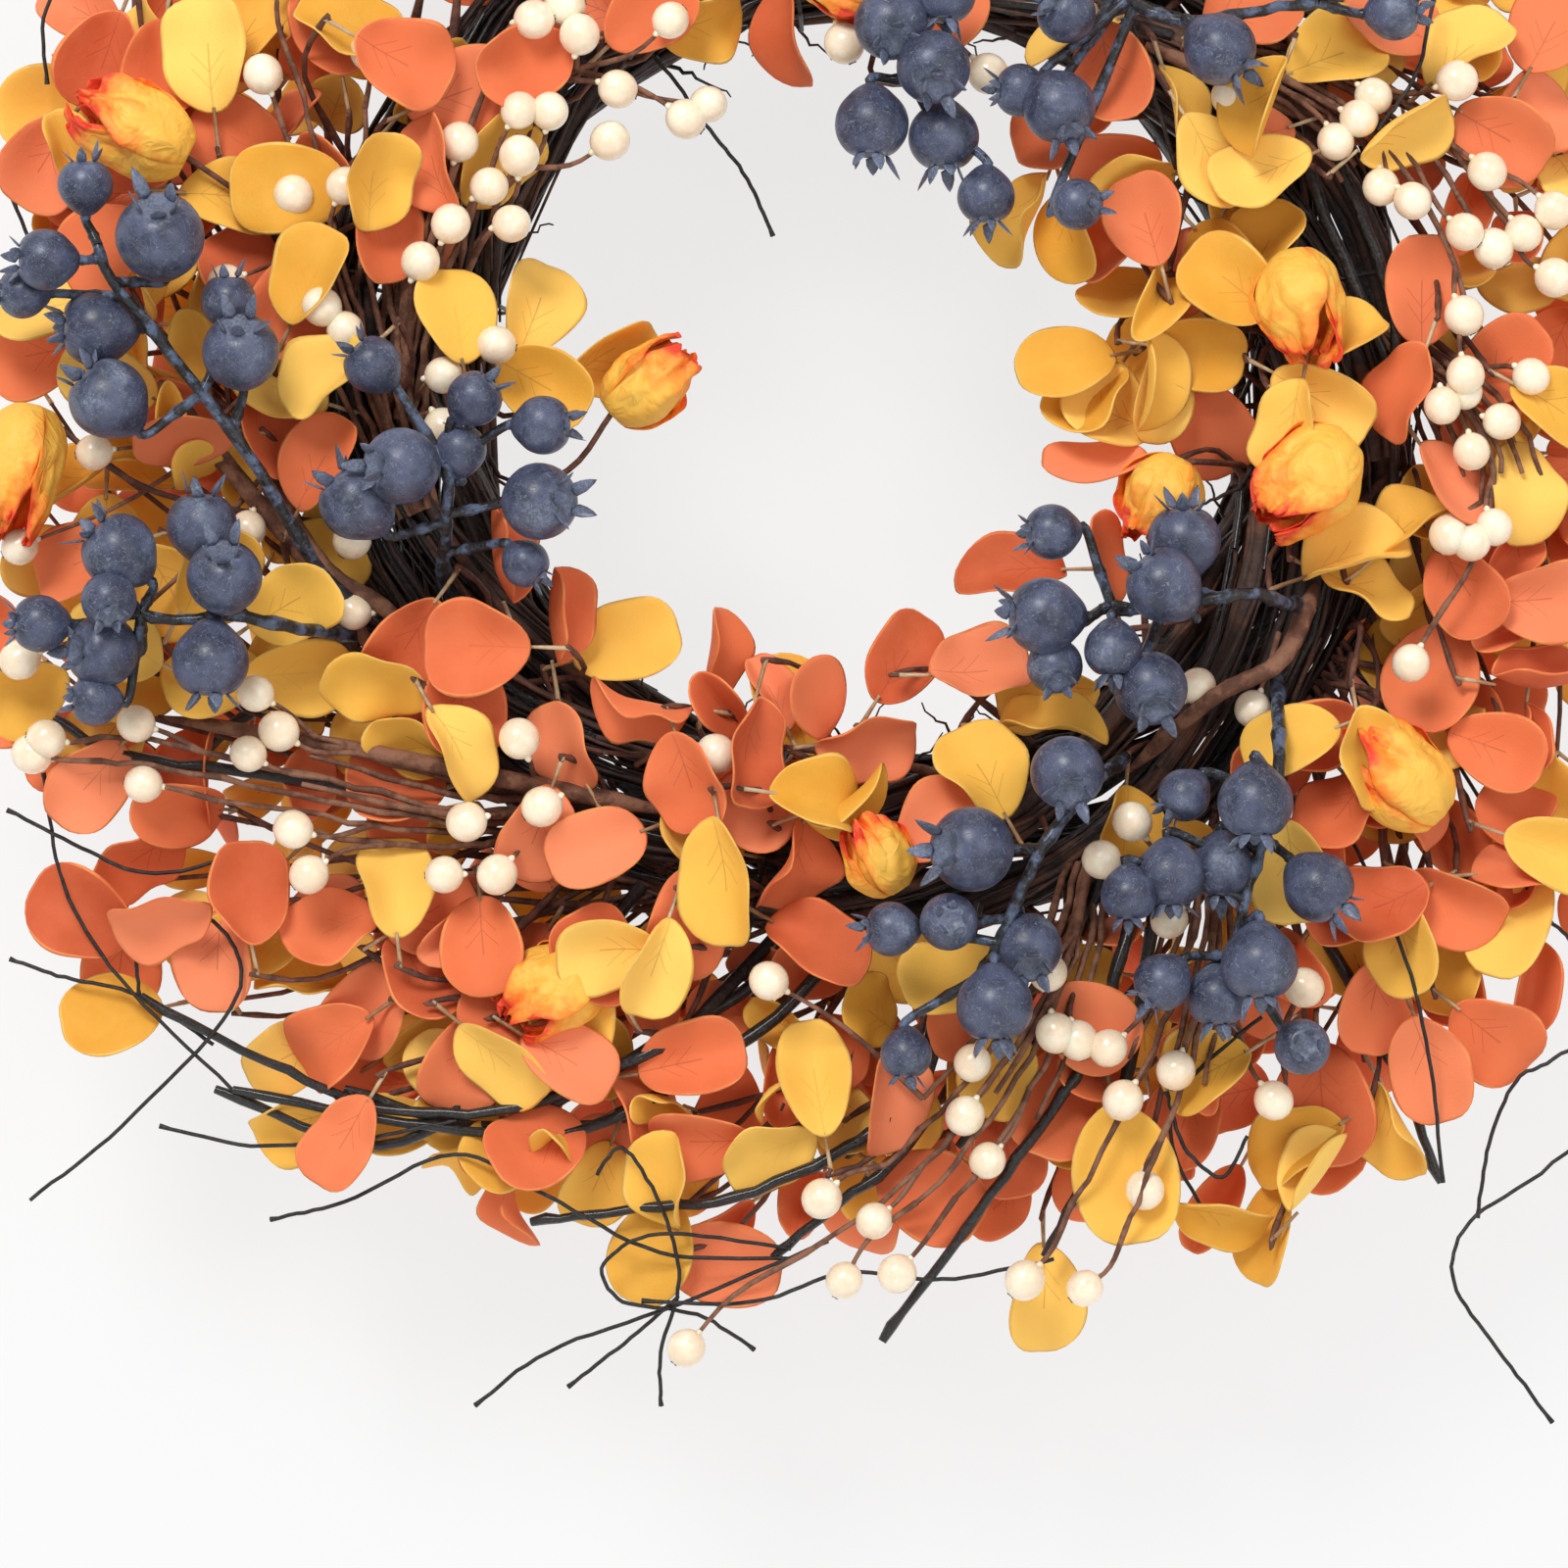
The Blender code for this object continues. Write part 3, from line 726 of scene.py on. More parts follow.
class Shells:
    """Closed or thin shapes that share one mesh, with a map and a tint for each."""

    levels = 1

    def __init__(self, name: str) -> None:
        """An empty mesh."""
        self.name = name
        self.bm = bmesh.new()
        self.bm.loops.layers.uv.new("UVMap")
        self.tint = self.bm.verts.layers.float.new("tint")

    def settle(self, verts: Sequence[bmesh.types.BMVert], tint: float, look: int) -> None:
        """Gives new vertices their tint, and their faces a material and smooth shading."""
        for vert in verts:
            vert[self.tint] = tint
            for face in vert.link_faces:
                face.material_index = look
                face.smooth = True

    def add_ball(self, place: Matrix, around: int, rings: int, tint: float = 0.0) -> list:
        """Adds a ball of radius 1 carried by place, and returns its vertices."""
        made = bmesh.ops.create_uvsphere(
            self.bm, u_segments=around, v_segments=rings, radius=1.0, matrix=place, calc_uvs=True
        )["verts"]
        self.settle(made, tint, 0)
        return made

    def add_spike(
        self, place: Matrix, base: float, tip: float, depth: float, tint: float, look: int = 0
    ) -> None:
        """Adds a closed taper along +Z of place, from radius base to tip over depth."""
        made = bmesh.ops.create_cone(
            self.bm,
            cap_ends=True,
            segments=5,
            radius1=base,
            radius2=tip,
            depth=depth,
            matrix=place @ Matrix.Translation((0, 0, depth / 2)),
            calc_uvs=True,
        )["verts"]
        self.settle(made, tint, look)

    def finish(
        self,
        body: str,
        slot_name: str,
        nodes: Sequence[str],
        *materials: bpy.types.Material,
        wall: float = 0.0,
    ) -> None:
        """Finishes the piece.

        Args:
            body: As for stand.
            slot_name: As for stand.
            nodes: As for stand.
            materials: As for stand.
            wall: The thickness of thin shapes in metres, or 0 for closed ones.
        """
        bmesh.ops.remove_doubles(self.bm, verts=self.bm.verts, dist=1e-6)
        bmesh.ops.recalc_face_normals(self.bm, faces=self.bm.faces)
        mesh = bpy.data.meshes.new(self.name)
        self.bm.to_mesh(mesh)
        self.bm.free()
        obj = bpy.data.objects.new(self.name, mesh)
        if wall:
            solid = obj.modifiers.new("wall", "SOLIDIFY")
            solid.thickness = wall
            solid.offset = 0.0
            solid.material_offset_rim = 1
        rounded = obj.modifiers.new("rounded", "SUBSURF")
        rounded.levels = self.levels
        rounded.render_levels = self.levels
        stand(obj, body, slot_name, nodes, *materials)


# ---------------------------------------------------------------------------
# Base


@dataclass
class TwigBase:
    """Six twisted bundles of thin twigs, with frayed ends in the opening."""

    strands: int = 78
    vines: int = 16
    bundles: int = 6
    orbit: float = 18.5
    spread: float = 7.4
    points: int = 16
    vine_thick: float = 3.0
    vine_sweep: float = 2.5
    frays: int = 46

    def centre(self, k: int, a: float) -> Vector:
        """The middle of bundle k at an angle."""
        turn = 2 * math.pi * k / self.bundles + 2 * a
        return polar(a, CORE + self.orbit * math.cos(turn), self.orbit * math.sin(turn))

    def build(self, finishes: Finishes) -> None:
        """Builds the bundles and their frayed ends."""
        rng = random.Random(11)
        for k in range(self.bundles):
            bundle = Strands(f"twigs_{k + 1}", solid=False)
            for n in range(self.strands + self.vines):
                vine = n >= self.strands
                start = rng.uniform(0, 2 * math.pi)
                sweep = self.vine_sweep if vine else rng.uniform(0.9, 2.1)
                out = self.spread * (0.45 if vine else math.sqrt(rng.uniform(0.15, 1.0)))
                phase = rng.uniform(0, 2 * math.pi)
                roll = rng.uniform(-1.4, 1.4)
                line = []
                for i in range(self.points):
                    share = i / (self.points - 1)
                    a = start + sweep * share
                    stray = out * (1.0 + 0.35 * max(0.0, share - 0.8) / 0.2)
                    swing = phase + roll * share * 2
                    across = (polar(a, 1.0, 0.0) - CENTRE).normalized()
                    aside = across * stray * math.cos(swing) * MM
                    line.append(self.centre(k, a) + aside + FRONT * stray * math.sin(swing) * MM)
                thick = self.vine_thick if vine else rng.choice((0.7, 1.0, 1.3, 1.8))
                strayed = wander(line, 0.5, rng)
                bundle.add(strayed, tapered(self.points, thick, 0.4), look=rng.choice((0, 0, 1)))
            bundle.finish(
                "base", "twig", [f"twig_bundle_{k + 1}"], finishes["dark_twig"], finishes["black_twig"]
            )
        self._frays(finishes, rng)

    def _frays(self, finishes: Finishes, rng: random.Random) -> None:
        """Thin broken ends that leave the inside of the base."""
        frayed = Strands("frayed_ends")
        for _ in range(self.frays):
            a = math.radians(rng.uniform(60, 420))
            lift = rng.uniform(-14, 16)
            way = rng.choice((-1, 1))
            length = rng.uniform(14, 30)
            points = [polar(a - way * 0.14, CORE - 16, lift)]
            for i in range(1, 5):
                share = i / 4
                inwards = CORE - 18 - length * 0.75 * share
                points.append(polar(a + way * 0.16 * share, inwards, lift + 5 * share))
            line = wander(smooth_line(points, 3), 0.8, rng)
            frayed.add(line, tapered(len(line), rng.uniform(0.5, 0.9), 0.22), look=rng.choice((0, 1)))
        frayed.finish("base", "twig", [], finishes["dark_twig"], finishes["black_twig"])
        for name in ("hoop_wire", *(f"binding_wire_{k}" for k in range(1, 5))):
            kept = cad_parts[name]
            kept.data.materials.clear()
            kept.data.materials.append(finishes["binding"])


# ---------------------------------------------------------------------------
# Leaves


@dataclass
class LeafPlan:
    """Where one leaf of the front lies: its middle on the plan, its heading and its size."""

    x: float
    z: float
    turn: float
    width: float = 27.0
    length: float = 30.0


def leaves(*rows: Point) -> list[LeafPlan]:
    """Leaf plans from (x, z, heading), and if they aren't the usual ones, width and length."""
    return [LeafPlan(*row) for row in rows]


@dataclass
class LeafShape:
    """A leaf, near round, folded along its mid-vein and curled; place carries it, base first."""

    place: Matrix
    length: float
    width: float
    fold: float
    bend: float
    cup: float
    wave: float
    skew: float
    phase: float

    def middle(self) -> np.ndarray:
        """The middle of the leaf."""
        return np.array(self.place @ Vector((self.length / 2, 0.0, 0.0)))

    def _broad(self, share: np.ndarray) -> np.ndarray:
        """The half width at a share of the length."""
        outline = (0.76 + 0.34 * share) * (1 + 0.05 * np.sin(self.phase + 6 * share - 3))
        return outline * self.width / 2

    def _rise(self, share: np.ndarray, across: np.ndarray) -> np.ndarray:
        """The height of the leaf there; across is from -1 to 1."""
        side = np.abs(across)
        lift = (np.sqrt(across**2 + 0.02) - 0.14) * math.sin(self.fold) * self.width / 2
        lift = lift + self.bend * self.length * (share - 0.35) ** 2
        lift = lift + self.cup * self.width / 2 * side**2
        lift = lift + self.wave * self.width * np.sin(self.phase + 10 * share - 5) * side
        return lift + self.skew * 0.12 * self.width * across * share

    def carried(self, square: np.ndarray) -> np.ndarray:
        """Points of a square from -1 to 1 carried onto the leaf."""
        x, y = square[:, 0], square[:, 1]
        along, across = x * np.sqrt(1 - y * y / 2), y * np.sqrt(1 - x * x / 2)
        share = (along + 1) / 2
        notch = 0.05 * self.length * np.clip(1 - 4 * np.abs(across), 0, 1) * share**4
        flat = np.stack(
            [
                share * self.length - notch,
                across * self._broad(share) * math.cos(self.fold),
                self._rise(share, across),
            ],
            axis=1,
        )
        turn = np.array(self.place)
        return flat @ turn[:3, :3].T + turn[:3, 3]

    def above(self, points: np.ndarray) -> tuple[np.ndarray, np.ndarray]:
        """How far points are above the leaf, and whether they are within its outline."""
        turn = np.array(self.place)
        local = (points - turn[:3, 3]) @ turn[:3, :3]
        share = local[:, 0] / self.length
        across = local[:, 1] / np.maximum(self._broad(share) * math.cos(self.fold), 1e-4)
        inside = (2 * share - 1) ** 2 + across**2 < 1.0
        return local[:, 2] - self._rise(share, np.clip(across, -1, 1)), inside


class LeafMaker:
    """Makes foam leaves, with petioles, in one mesh of leaves and one curve of stems."""

    wall = 0.0009

    def __init__(self, name: str, colour: LeafColour, rng: random.Random) -> None:
        """Starts empty pieces for leaves of one colour."""
        self.colour = colour
        self.rng = rng
        self.sheet = Shells(f"leaves_{name}")
        self.stems = Strands(f"stems_{name}")

    def shaped(
        self, base: Vector, along: Vector, facing: Vector, length: float, width: float, fold: float
    ) -> LeafShape:
        """A leaf with a chance curl.

        Args:
            base: Where the petiole joins it.
            along: The way that it grows.
            facing: The way that its face looks.
            length: Its length in metres.
            width: Its width in metres.
            fold: How far each half stands up, in radians.

        Returns:
            The shape, which isn't on the wreath yet.
        """
        rng = self.rng
        return LeafShape(
            Matrix.Translation(base) @ turned_to(along, facing), length, width, fold,
            rng.uniform(-0.65, 0.65), rng.uniform(-0.12, 0.42), rng.uniform(-0.13, 0.13),
            rng.uniform(-0.3, 0.3), rng.uniform(0, 6.28),
        )

    def lay(self, shape: LeafShape) -> None:
        """Adds a leaf of that shape to the mesh."""
        made = bmesh.ops.create_grid(
            self.sheet.bm, x_segments=6, y_segments=4, size=1.0, calc_uvs=True
        )["verts"]
        self.sheet.settle(made, self.rng.random(), 0)
        points = shape.carried(np.array([vert.co[:2] for vert in made]))
        for vert, point in zip(made, points):
            vert.co = point
        CROWD.add_leaf(shape, points)

    def petiole(self, base: Vector, root: Vector, rng: random.Random) -> None:
        """Adds the beige petiole between a leaf and the stem."""
        middle = (base + root) / 2 + FRONT * rng.uniform(-1.5, 1.0) * MM
        line = smooth_line([root, middle, base], 3)
        line.append(base + (base - line[-2]).normalized() * 2.5 * MM)
        self.stems.add(line, tapered(len(line), 0.75, 0.5), look=1)

    def stem(self, line: Sequence[Vector], first: float, last: float) -> None:
        """Adds a knobbly brown stem, thick at first and last as given in millimetres."""
        self.stems.add(line, knobbly(tapered(len(line), first, last), 5, 1.35), look=0)

    def finish(self, finishes: Finishes, nodes: Sequence[str]) -> None:
        """Finishes both pieces on the base."""
        tone = self.colour.value
        slot_name = f"leaf_{tone}"
        self.sheet.finish(
            "base", slot_name, nodes, finishes[f"{tone}_foam"], finishes[f"{tone}_edge"], wall=self.wall
        )
        self.stems.finish("base", slot_name, nodes, finishes["leaf_stem"], finishes["petiole"])


@dataclass
class SprayPlan:
    """A leaf spray: the line of its stem, its colour and the CAD node that it stands for."""

    route: list[Point]
    colour: LeafColour
    nodes: tuple[str, ...]


O, Y = LeafColour.ORANGE, LeafColour.YELLOW

FRONT_SPRAYS = {
    "bottom": SprayPlan([(22, -106), (2, -101, 30), (-30, -98, 31), (-66, -100, 31), (-96, -92, 31)], O,
                        ("leaf_spray_front_bottom",)),
    "right": SprayPlan([(98, 76), (88, 56, 30), (82, 34, 31), (80, 14, 31)], Y,
                       ("leaf_spray_front_right",)),
    "left": SprayPlan([(-148, -16), (-176, -4, 26), (-192, 16, 30), (-206, 44, 31)], Y,
                      ("leaf_spray_front_left",)),
    "top": SprayPlan([(-112, 84), (-106, 122, 30), (-88, 152, 31), (-54, 182, 30)], O,
                     ("leaf_spray_front_top",)),
    "right_edge": SprayPlan([(148, 14), (172, -10, 24), (182, -40, 27), (178, -80, 27)], O,
                            ("leaf_spray_front_right_edge",)),
}

# The leaves that show on the front, by the part of the wreath that they lie on.
ORANGE_LEAVES = {
    "upper_left": leaves(
        (-204, 86, 250), (-190, 84, 265, 22), (-180, 76, 130, 14), (-107, 76, 20, 24, 34),
        (-130, 38, 280, 18), (-118, 38, 80, 20), (-168, 64, 150), (-222, 58, 240), (-211, 50, 200, 22),
        (-159, -14, 300, 22), (-178, -12, 178, 12), (-144, -23, 60, 20), (-142, 94, 100),
        (-126, 86, 330), (-224, 8, 190), (-204, 34, 210), (-166, 28, 120), (-152, 20, 260),
        (-196, 62, 20, 18), (-112, 56, 110, 20), (-92, 84, 200, 22), (-76, 100, 160), (-58, 98, 40, 22),
        (-210, -48, 200, 20),
    ),
    "lower_left": leaves(
        (-100, -48, 108, 13, 27), (-103, -71, 178, 29, 30), (-122, -70, 235, 20), (-108, -88, 275, 26),
        (-178, -106, 262, 15, 32), (-126, -110, 185, 23, 27), (-196, -127, 212, 14, 30),
        (-211, -142, 150, 28, 32), (-86, -64, 98, 8, 28), (-80, -98, 118, 20, 28),
        (-72, -125, 200, 26, 30), (-88, -122, 250, 20, 30), (-60, -86, 172, 11, 30),
        (-42, -73, 82, 11, 28), (-144, -148, 205, 24), (-174, -156, 268, 24), (-134, -168, 240),
        (-200, -156, 262, 22), (-164, -138, 100, 24), (-144, -178, 215), (-116, -142, 30),
        (-102, -152, 275, 26), (-120, -160, 300, 20), (-186, -140, 190, 20), (-206, -110, 230, 20),
    ),
    "bottom": leaves(
        (-138, -204, 240, 22, 24), (-90, -206, 205), (-92, -220, 282, 12, 26), (-69, -208, 150, 26),
        (-43, -186, 12, 26, 32), (-44, -202, 182, 22), (-39, -237, 350, 28, 36),
        (-48, -146, 262, 26, 34), (-21, -130, 250, 14, 30), (-13, -151, 332, 18, 32),
        (-1, -95, 8, 20, 30), (-46, -106, 290, 22), (-36, -102, 255, 18, 32), (10, -74, 58, 20, 26),
        (30, -79, 0, 22), (-72, -154, 120), (17, -219, 328, 28, 34), (50, -194, 250, 28, 36),
        (28, -170, 200, 24), (4, -194, 80, 14, 32), (-96, -168, 230), (-60, -196, 300, 20),
        (38, -206, 280, 24), (20, -118, 40, 22), (60, -170, 320, 26), (-108, -182, 250, 22),
        (-76, -182, 330, 22),
    ),
    "lower_right": leaves(
        (123, -194, 272, 32, 36), (95, -178, 205, 26, 32), (169, -176, 322, 28, 30),
        (152, -184, 290, 22, 32), (139, -140, 205, 22, 28), (158, -139, 332, 18, 30),
        (126, -117, 235, 22, 28), (121, -96, 200, 24, 24), (174, -130, 5, 10, 26), (168, -100, 340, 22),
        (179, -84, 350, 12, 28), (152, -80, 250, 28, 34), (178, -60, 5, 26, 30), (160, -56, 300, 20),
        (136, -166, 255, 20, 30), (144, -112, 290, 18), (108, -160, 230, 22), (158, -160, 250, 20),
        (86, -200, 250, 22),
    ),
    "right": leaves(
        (66, 58, 178, 20, 28), (78, 44, 105, 22, 26), (68, 34, 230, 20, 26), (62, -25, 190, 17, 30),
        (94, -13, 300, 27, 32), (39, -51, 182, 15, 32), (62, -48, 110, 9, 26), (178, 68, 30, 28, 30),
        (148, 24, 90, 22, 32), (172, 4, 40, 24), (144, -4, 250, 20), (64, 80, 280, 24),
        (100, 62, 200, 20), (182, 92, 60, 24), (166, 62, 330, 24), (88, 30, 240, 20),
        (154, -30, 300, 18), (-21, 92, 275, 14, 30), (20, 98, 60, 24), (102, 98, 20, 24),
        (140, 96, 150, 24), (52, 66, 200, 22),
    ),
}
YELLOW_LEAVES = {
    "upper_left": leaves(
        (-222, 70, 182, 30, 32), (-196, 88, 118, 18, 34), (-174, 86, 95, 27, 34), (-138, 90, 150, 18, 34),
        (-116, 80, 42, 12, 30), (-170, 50, 355, 20, 30), (-150, 47, 182, 29, 34), (-133, 50, 82, 18),
        (-222, 18, 195, 20), (-218, 38, 110, 16, 28), (-190, 34, 60, 22), (-140, -1, 222, 20, 26),
        (-157, -3, 165, 20), (-214, -30, 215, 20, 34), (-110, 17, 100, 20, 30), (-88, 20, 70, 26, 30),
        (-70, 9, 35, 18, 26), (-86, -2, 330, 24), (-204, -44, 270, 24), (-186, -56, 300, 24),
        (-160, 96, 60, 22), (-100, 62, 60, 18), (-200, 4, 150, 20), (-146, 24, 60, 22),
    ),
    "lower_left": leaves(
        (-64, -71, 15, 24, 32), (-152, -78, 5, 24, 32), (-130, -80, 160, 22, 32), (-121, -94, 150, 13, 30),
        (-174, -82, 200, 24), (-204, -92, 232, 24), (-181, -150, 120, 22), (-165, -151, 190, 22, 28),
        (-203, -171, 192, 22, 28), (-127, -136, 95, 22), (-152, -162, 172, 12, 28), (-224, -80, 200, 24),
        (-196, -70, 150, 22), (-150, -60, 30, 22), (-178, -48, 60, 20), (-110, -100, 300, 16),
    ),
    "bottom": leaves(
        (-155, -182, 205, 22, 26), (-151, -199, 195, 18, 26), (-100, -182, 322, 20, 32),
        (-106, -197, 240, 20, 28), (-118, -176, 32, 14, 28), (-78, -168, 262, 26, 38),
        (-68, -150, 180, 24), (-53, -216, 92, 14, 28), (-57, -234, 250, 22, 32),
        (-36, -134, 280, 22, 38), (-46, -123, 168, 16, 28), (-55, -160, 250, 16, 28),
        (-22, -88, 112, 20, 32), (-16, -110, 352, 17, 26), (-6, -112, 20, 8, 24),
        (-25, -203, 200, 18, 28), (-5, -209, 290, 18, 36), (-14, -188, 100, 24, 34),
        (30, -105, 120, 22), (69, -212, 280, 32, 40), (48, -247, 270, 24, 32), (110, -229, 255, 16, 32),
        (96, -222, 350, 9, 26), (122, -215, 48, 7, 26), (36, -184, 260, 22), (50, -92, 0, 9, 32),
        (22, -160, 200, 22), (94, -190, 212, 20, 28),
    ),
    "lower_right": leaves(
        (170, -147, 250, 26, 38), (160, -156, 262, 22, 32), (142, -150, 285, 20, 30),
        (184, -128, 340, 24), (128, -150, 230, 24), (113, -98, 200, 20), (134, -100, 280, 20),
        (182, -108, 300, 20), (112, -132, 280, 22), (146, -200, 300, 18), (68, -124, 265, 18, 32),
        (48, -82, 182, 20, 30), (116, -206, 210, 20),
    ),
    "right": leaves(
        (54, 92, 200, 14, 26), (83, 70, 285, 14, 30), (108, 68, 250, 13, 30), (92, 56, 300, 22),
        (106, 52, 205, 18), (74, 20, 210, 18, 28), (96, 25, 142, 26, 30), (88, 8, 352, 24, 26),
        (72, 9, 150, 24, 26), (61, -6, 235, 22, 28), (53, 4, 192, 18, 26), (77, -1, 272, 16, 30),
        (127, 9, 30, 20, 28), (122, -5, 330, 20, 32), (113, -14, 260, 18, 26), (130, -48, 20, 15, 32),
        (133, -58, 332, 12, 28), (145, -40, 40, 16, 28), (44, 42, 250, 16), (54, 38, 282, 18, 26),
        (172, -30, 280, 20, 30), (170, -14, 60, 18), (160, 86, 40, 20), (176, 82, 30, 18),
        (64, -10, 160, 20), (184, -6, 330, 20), (-43, 99, 20, 16, 28), (140, 70, 40, 16),
        (108, 34, 60, 22), (124, 84, 20, 22),
    ),
}


@dataclass
class LeafSprays:
    """Every leaf of the wreath."""

    fans: int = 9
    stems_per_fan: int = 3
    sweep: float = 46.0
    tip: float = 78.0
    pair_step: float = 11.0
    grown_tries: int = 14
    laid_tries: int = 34
    stem_tries: int = 9
    made: int = 0
    crossed: int = 0
    left_out: int = 0

    def build(self, finishes: Finishes) -> None:
        """Builds the outer sprays, the front sprays and the leaves laid on the front."""
        rng = random.Random(23)
        for k in range(self.fans):
            colour, second = (Y, O) if k % 2 else (O, Y)
            maker = LeafMaker(f"outer_{k + 1}", colour, rng)
            other = LeafMaker(f"outer_{k + 1}_mixed", second, rng)
            for s in range(self.stems_per_fan):
                start = 2 * math.pi * (k + (s - 1) * 0.33) / self.fans + rng.uniform(-0.05, 0.05)
                self._leafy_stem(other if s == 1 else maker, self._outer_line(start, s, rng), 0.3, rng)
            maker.finish(finishes, [f"leaf_spray_outer_{k + 1}"])
            other.finish(finishes, [f"leaf_spray_outer_{k + 1}"])
        for name, plan in FRONT_SPRAYS.items():
            maker = LeafMaker(f"front_{name}", plan.colour, rng)
            line = smooth_line(rooted(plan.route, SECTION), 6)
            sunk = [point - FRONT * 6 * MM for point in line]
            self._leafy_stem(maker, sunk, 0.25, rng, count=3)
            maker.finish(finishes, plan.nodes)
        for colour, groups in ((O, ORANGE_LEAVES), (Y, YELLOW_LEAVES)):
            for name, plans in groups.items():
                maker = LeafMaker(f"laid_{colour.value}_{name}", colour, rng)
                for plan in plans:
                    self._laid(maker, plan, rng)
                maker.finish(finishes, [])
        LOG.info("%d leaves, %d against something, %d left out", self.made, self.crossed, self.left_out)

    def _outer_line(self, start: float, depth: int, rng: random.Random) -> list[Vector]:
        """The stem of an outer spray, which leaves the base clockwise at an angle."""
        tip = self.tip + rng.uniform(-22, 6)
        sweep = math.radians(self.sweep + rng.uniform(-8, 8))
        low = (-6.0, 2.0, 9.0)[depth]
        points = []
        for share in (0.0, 0.12, 0.4, 0.7, 1.0):
            lift = low + 4 * math.sin(math.pi * share) + rng.uniform(-2, 2)
            points.append(polar(start - sweep * share, CORE + SECTION - 2 + tip * share**1.2, lift))
        return smooth_line(points, 6)

    def _leafy_stem(
        self, maker: LeafMaker, line: Sequence[Vector], bare: float, rng: random.Random, count: int = 99
    ) -> None:
        """Adds a stem with leaves in opposite pairs and one at its tip.

        Args:
            maker: The pieces that it joins.
            line: The points of the stem.
            bare: The share of the stem that has no leaves.
            rng: Draws how the leaves are spread.
            count: The most pairs.
        """
        maker.stem(line, 1.25, 0.6)
        first = int(bare * (len(line) - 1))
        walked, pairs = 0.0, 0
        for i in range(first, len(line) - 1):
            step = line[i + 1] - line[i]
            walked += step.length
            if walked < self.pair_step * MM or pairs >= count:
                continue
            walked = 0.0
            pairs += 1
            ahead = step.normalized()
            across = ahead.cross(FRONT).normalized()
            roll = rng.uniform(-0.9, 0.9) + (0.7 if pairs % 2 else -0.2)
            for side in (-1, 1):
                out = (across * math.cos(roll) + FRONT * math.sin(roll) * 0.8) * side
                self._grown(maker, line[i], ahead, out, math.radians(rng.uniform(48, 72)), rng)
        self._grown(maker, line[-1], (line[-1] - line[-2]).normalized(), FRONT, 0.12, rng)

    def _clearest(self, maker: LeafMaker, tries: Iterable[LeafShape], needed: bool) -> LeafShape | None:
        """Lays the first of the tries that passes through nothing.

        Args:
            maker: The leaves that it joins.
            tries: The shapes to try in turn.
            needed: Whether the one that passes through least is laid when none is clear.

        Returns:
            The shape laid, or None.
        """
        best, least = None, 1e9
        for shape in tries:
            score = CROWD.crossings(shape)
            if score < least:
                best, least = shape, score
            if not score:
                break
        if least >= 1 and not needed:
            self.left_out += 1
            return None
        maker.lay(best)
        self.made += 1
        self.crossed += least >= 1
        return best

    def _grown(
        self, maker: LeafMaker, root: Vector, ahead: Vector, out: Vector, spread: float, rng: random.Random
    ) -> None:
        """Adds a leaf that grows from a stem, or leaves it out where nothing lies clear.

        Args:
            maker: The pieces that it joins.
            root: The point of the stem.
            ahead: The way that the stem runs there.
            out: The way that the leaf leaves it.
            spread: The angle between the two, in radians.
            rng: Draws the leaf's turn, tilt and size.
        """

        def tries() -> Iterable[LeafShape]:
            """Shapes with other turns, nearest to the wanted one first."""
            for k in range(self.grown_tries):
                turned = Matrix.Rotation(rng.uniform(-0.16, 0.16) * k, 4, ahead) @ out
                wide = spread + rng.uniform(-0.05, 0.05) * k
                along = (math.cos(wide) * ahead + math.sin(wide) * turned).normalized()
                tilt = Vector((rng.uniform(-0.5, 0.5), 0.0, rng.uniform(-0.5, 0.5)))
                length = rng.uniform(23, 30) * MM * (1 - 0.015 * k)
                yield maker.shaped(
                    root + along * rng.uniform(3.5, 7) * MM, along, FRONT + tilt, length,
                    length * rng.uniform(0.78, 0.96), rng.choice((0.15, 0.35, 0.6, 0.95)),
                )

        shape = self._clearest(maker, tries(), False)
        if shape:
            maker.petiole(shape.place.translation, root, rng)

    def _laid(self, maker: LeafMaker, plan: LeafPlan, rng: random.Random) -> None:
        """Adds a leaf of the front, its petiole, and the stem that it hangs from.

        Args:
            maker: The pieces that it joins.
            plan: Where it lies.
            rng: Draws its lift, its tilt and its stem.
        """
        radius = math.hypot(plan.x, plan.z)
        outside = max(0.0, radius - CORE - 10) / 80
        lift = 37 - 20 * min(1.0, outside)
        if radius < CORE - 30:
            lift = 26
        real_length = max(plan.length, rng.uniform(27, 30)) * MM
        real_width = max(plan.width, rng.uniform(24, 28)) * MM
        share = min(1.0, plan.width * MM / real_width)
        closed = math.acos(max(0.15, share))
        ahead = heading(plan.turn)

        def tries() -> Iterable[LeafShape]:
            """Shapes at other lifts and tilts, nearest to the wanted one first."""
            for k in range(self.laid_tries):
                fold = max(rng.uniform(0.05, 0.5), closed * rng.uniform(0.3, 0.75))
                roll = math.acos(max(0.2, min(1.0, share / math.cos(fold)))) * rng.choice((-1, 1))
                roll += rng.uniform(-0.3, 0.3)
                dip = rng.uniform(-0.35, 0.35)
                along = (ahead + FRONT * dip).normalized()
                facing = Matrix.Rotation(roll, 4, along) @ (FRONT - ahead * dip).normalized()
                height = lift + rng.uniform(-1, 1) * (5 + 0.3 * k)
                shift = Vector((rng.uniform(-1, 1), 0, rng.uniform(-1, 1))) * 0.14 * k * MM
                base = seat(plan.x, plan.z, height) - along * real_length * 0.5 + shift
                yield maker.shaped(base, along, facing, real_length, real_width, fold)

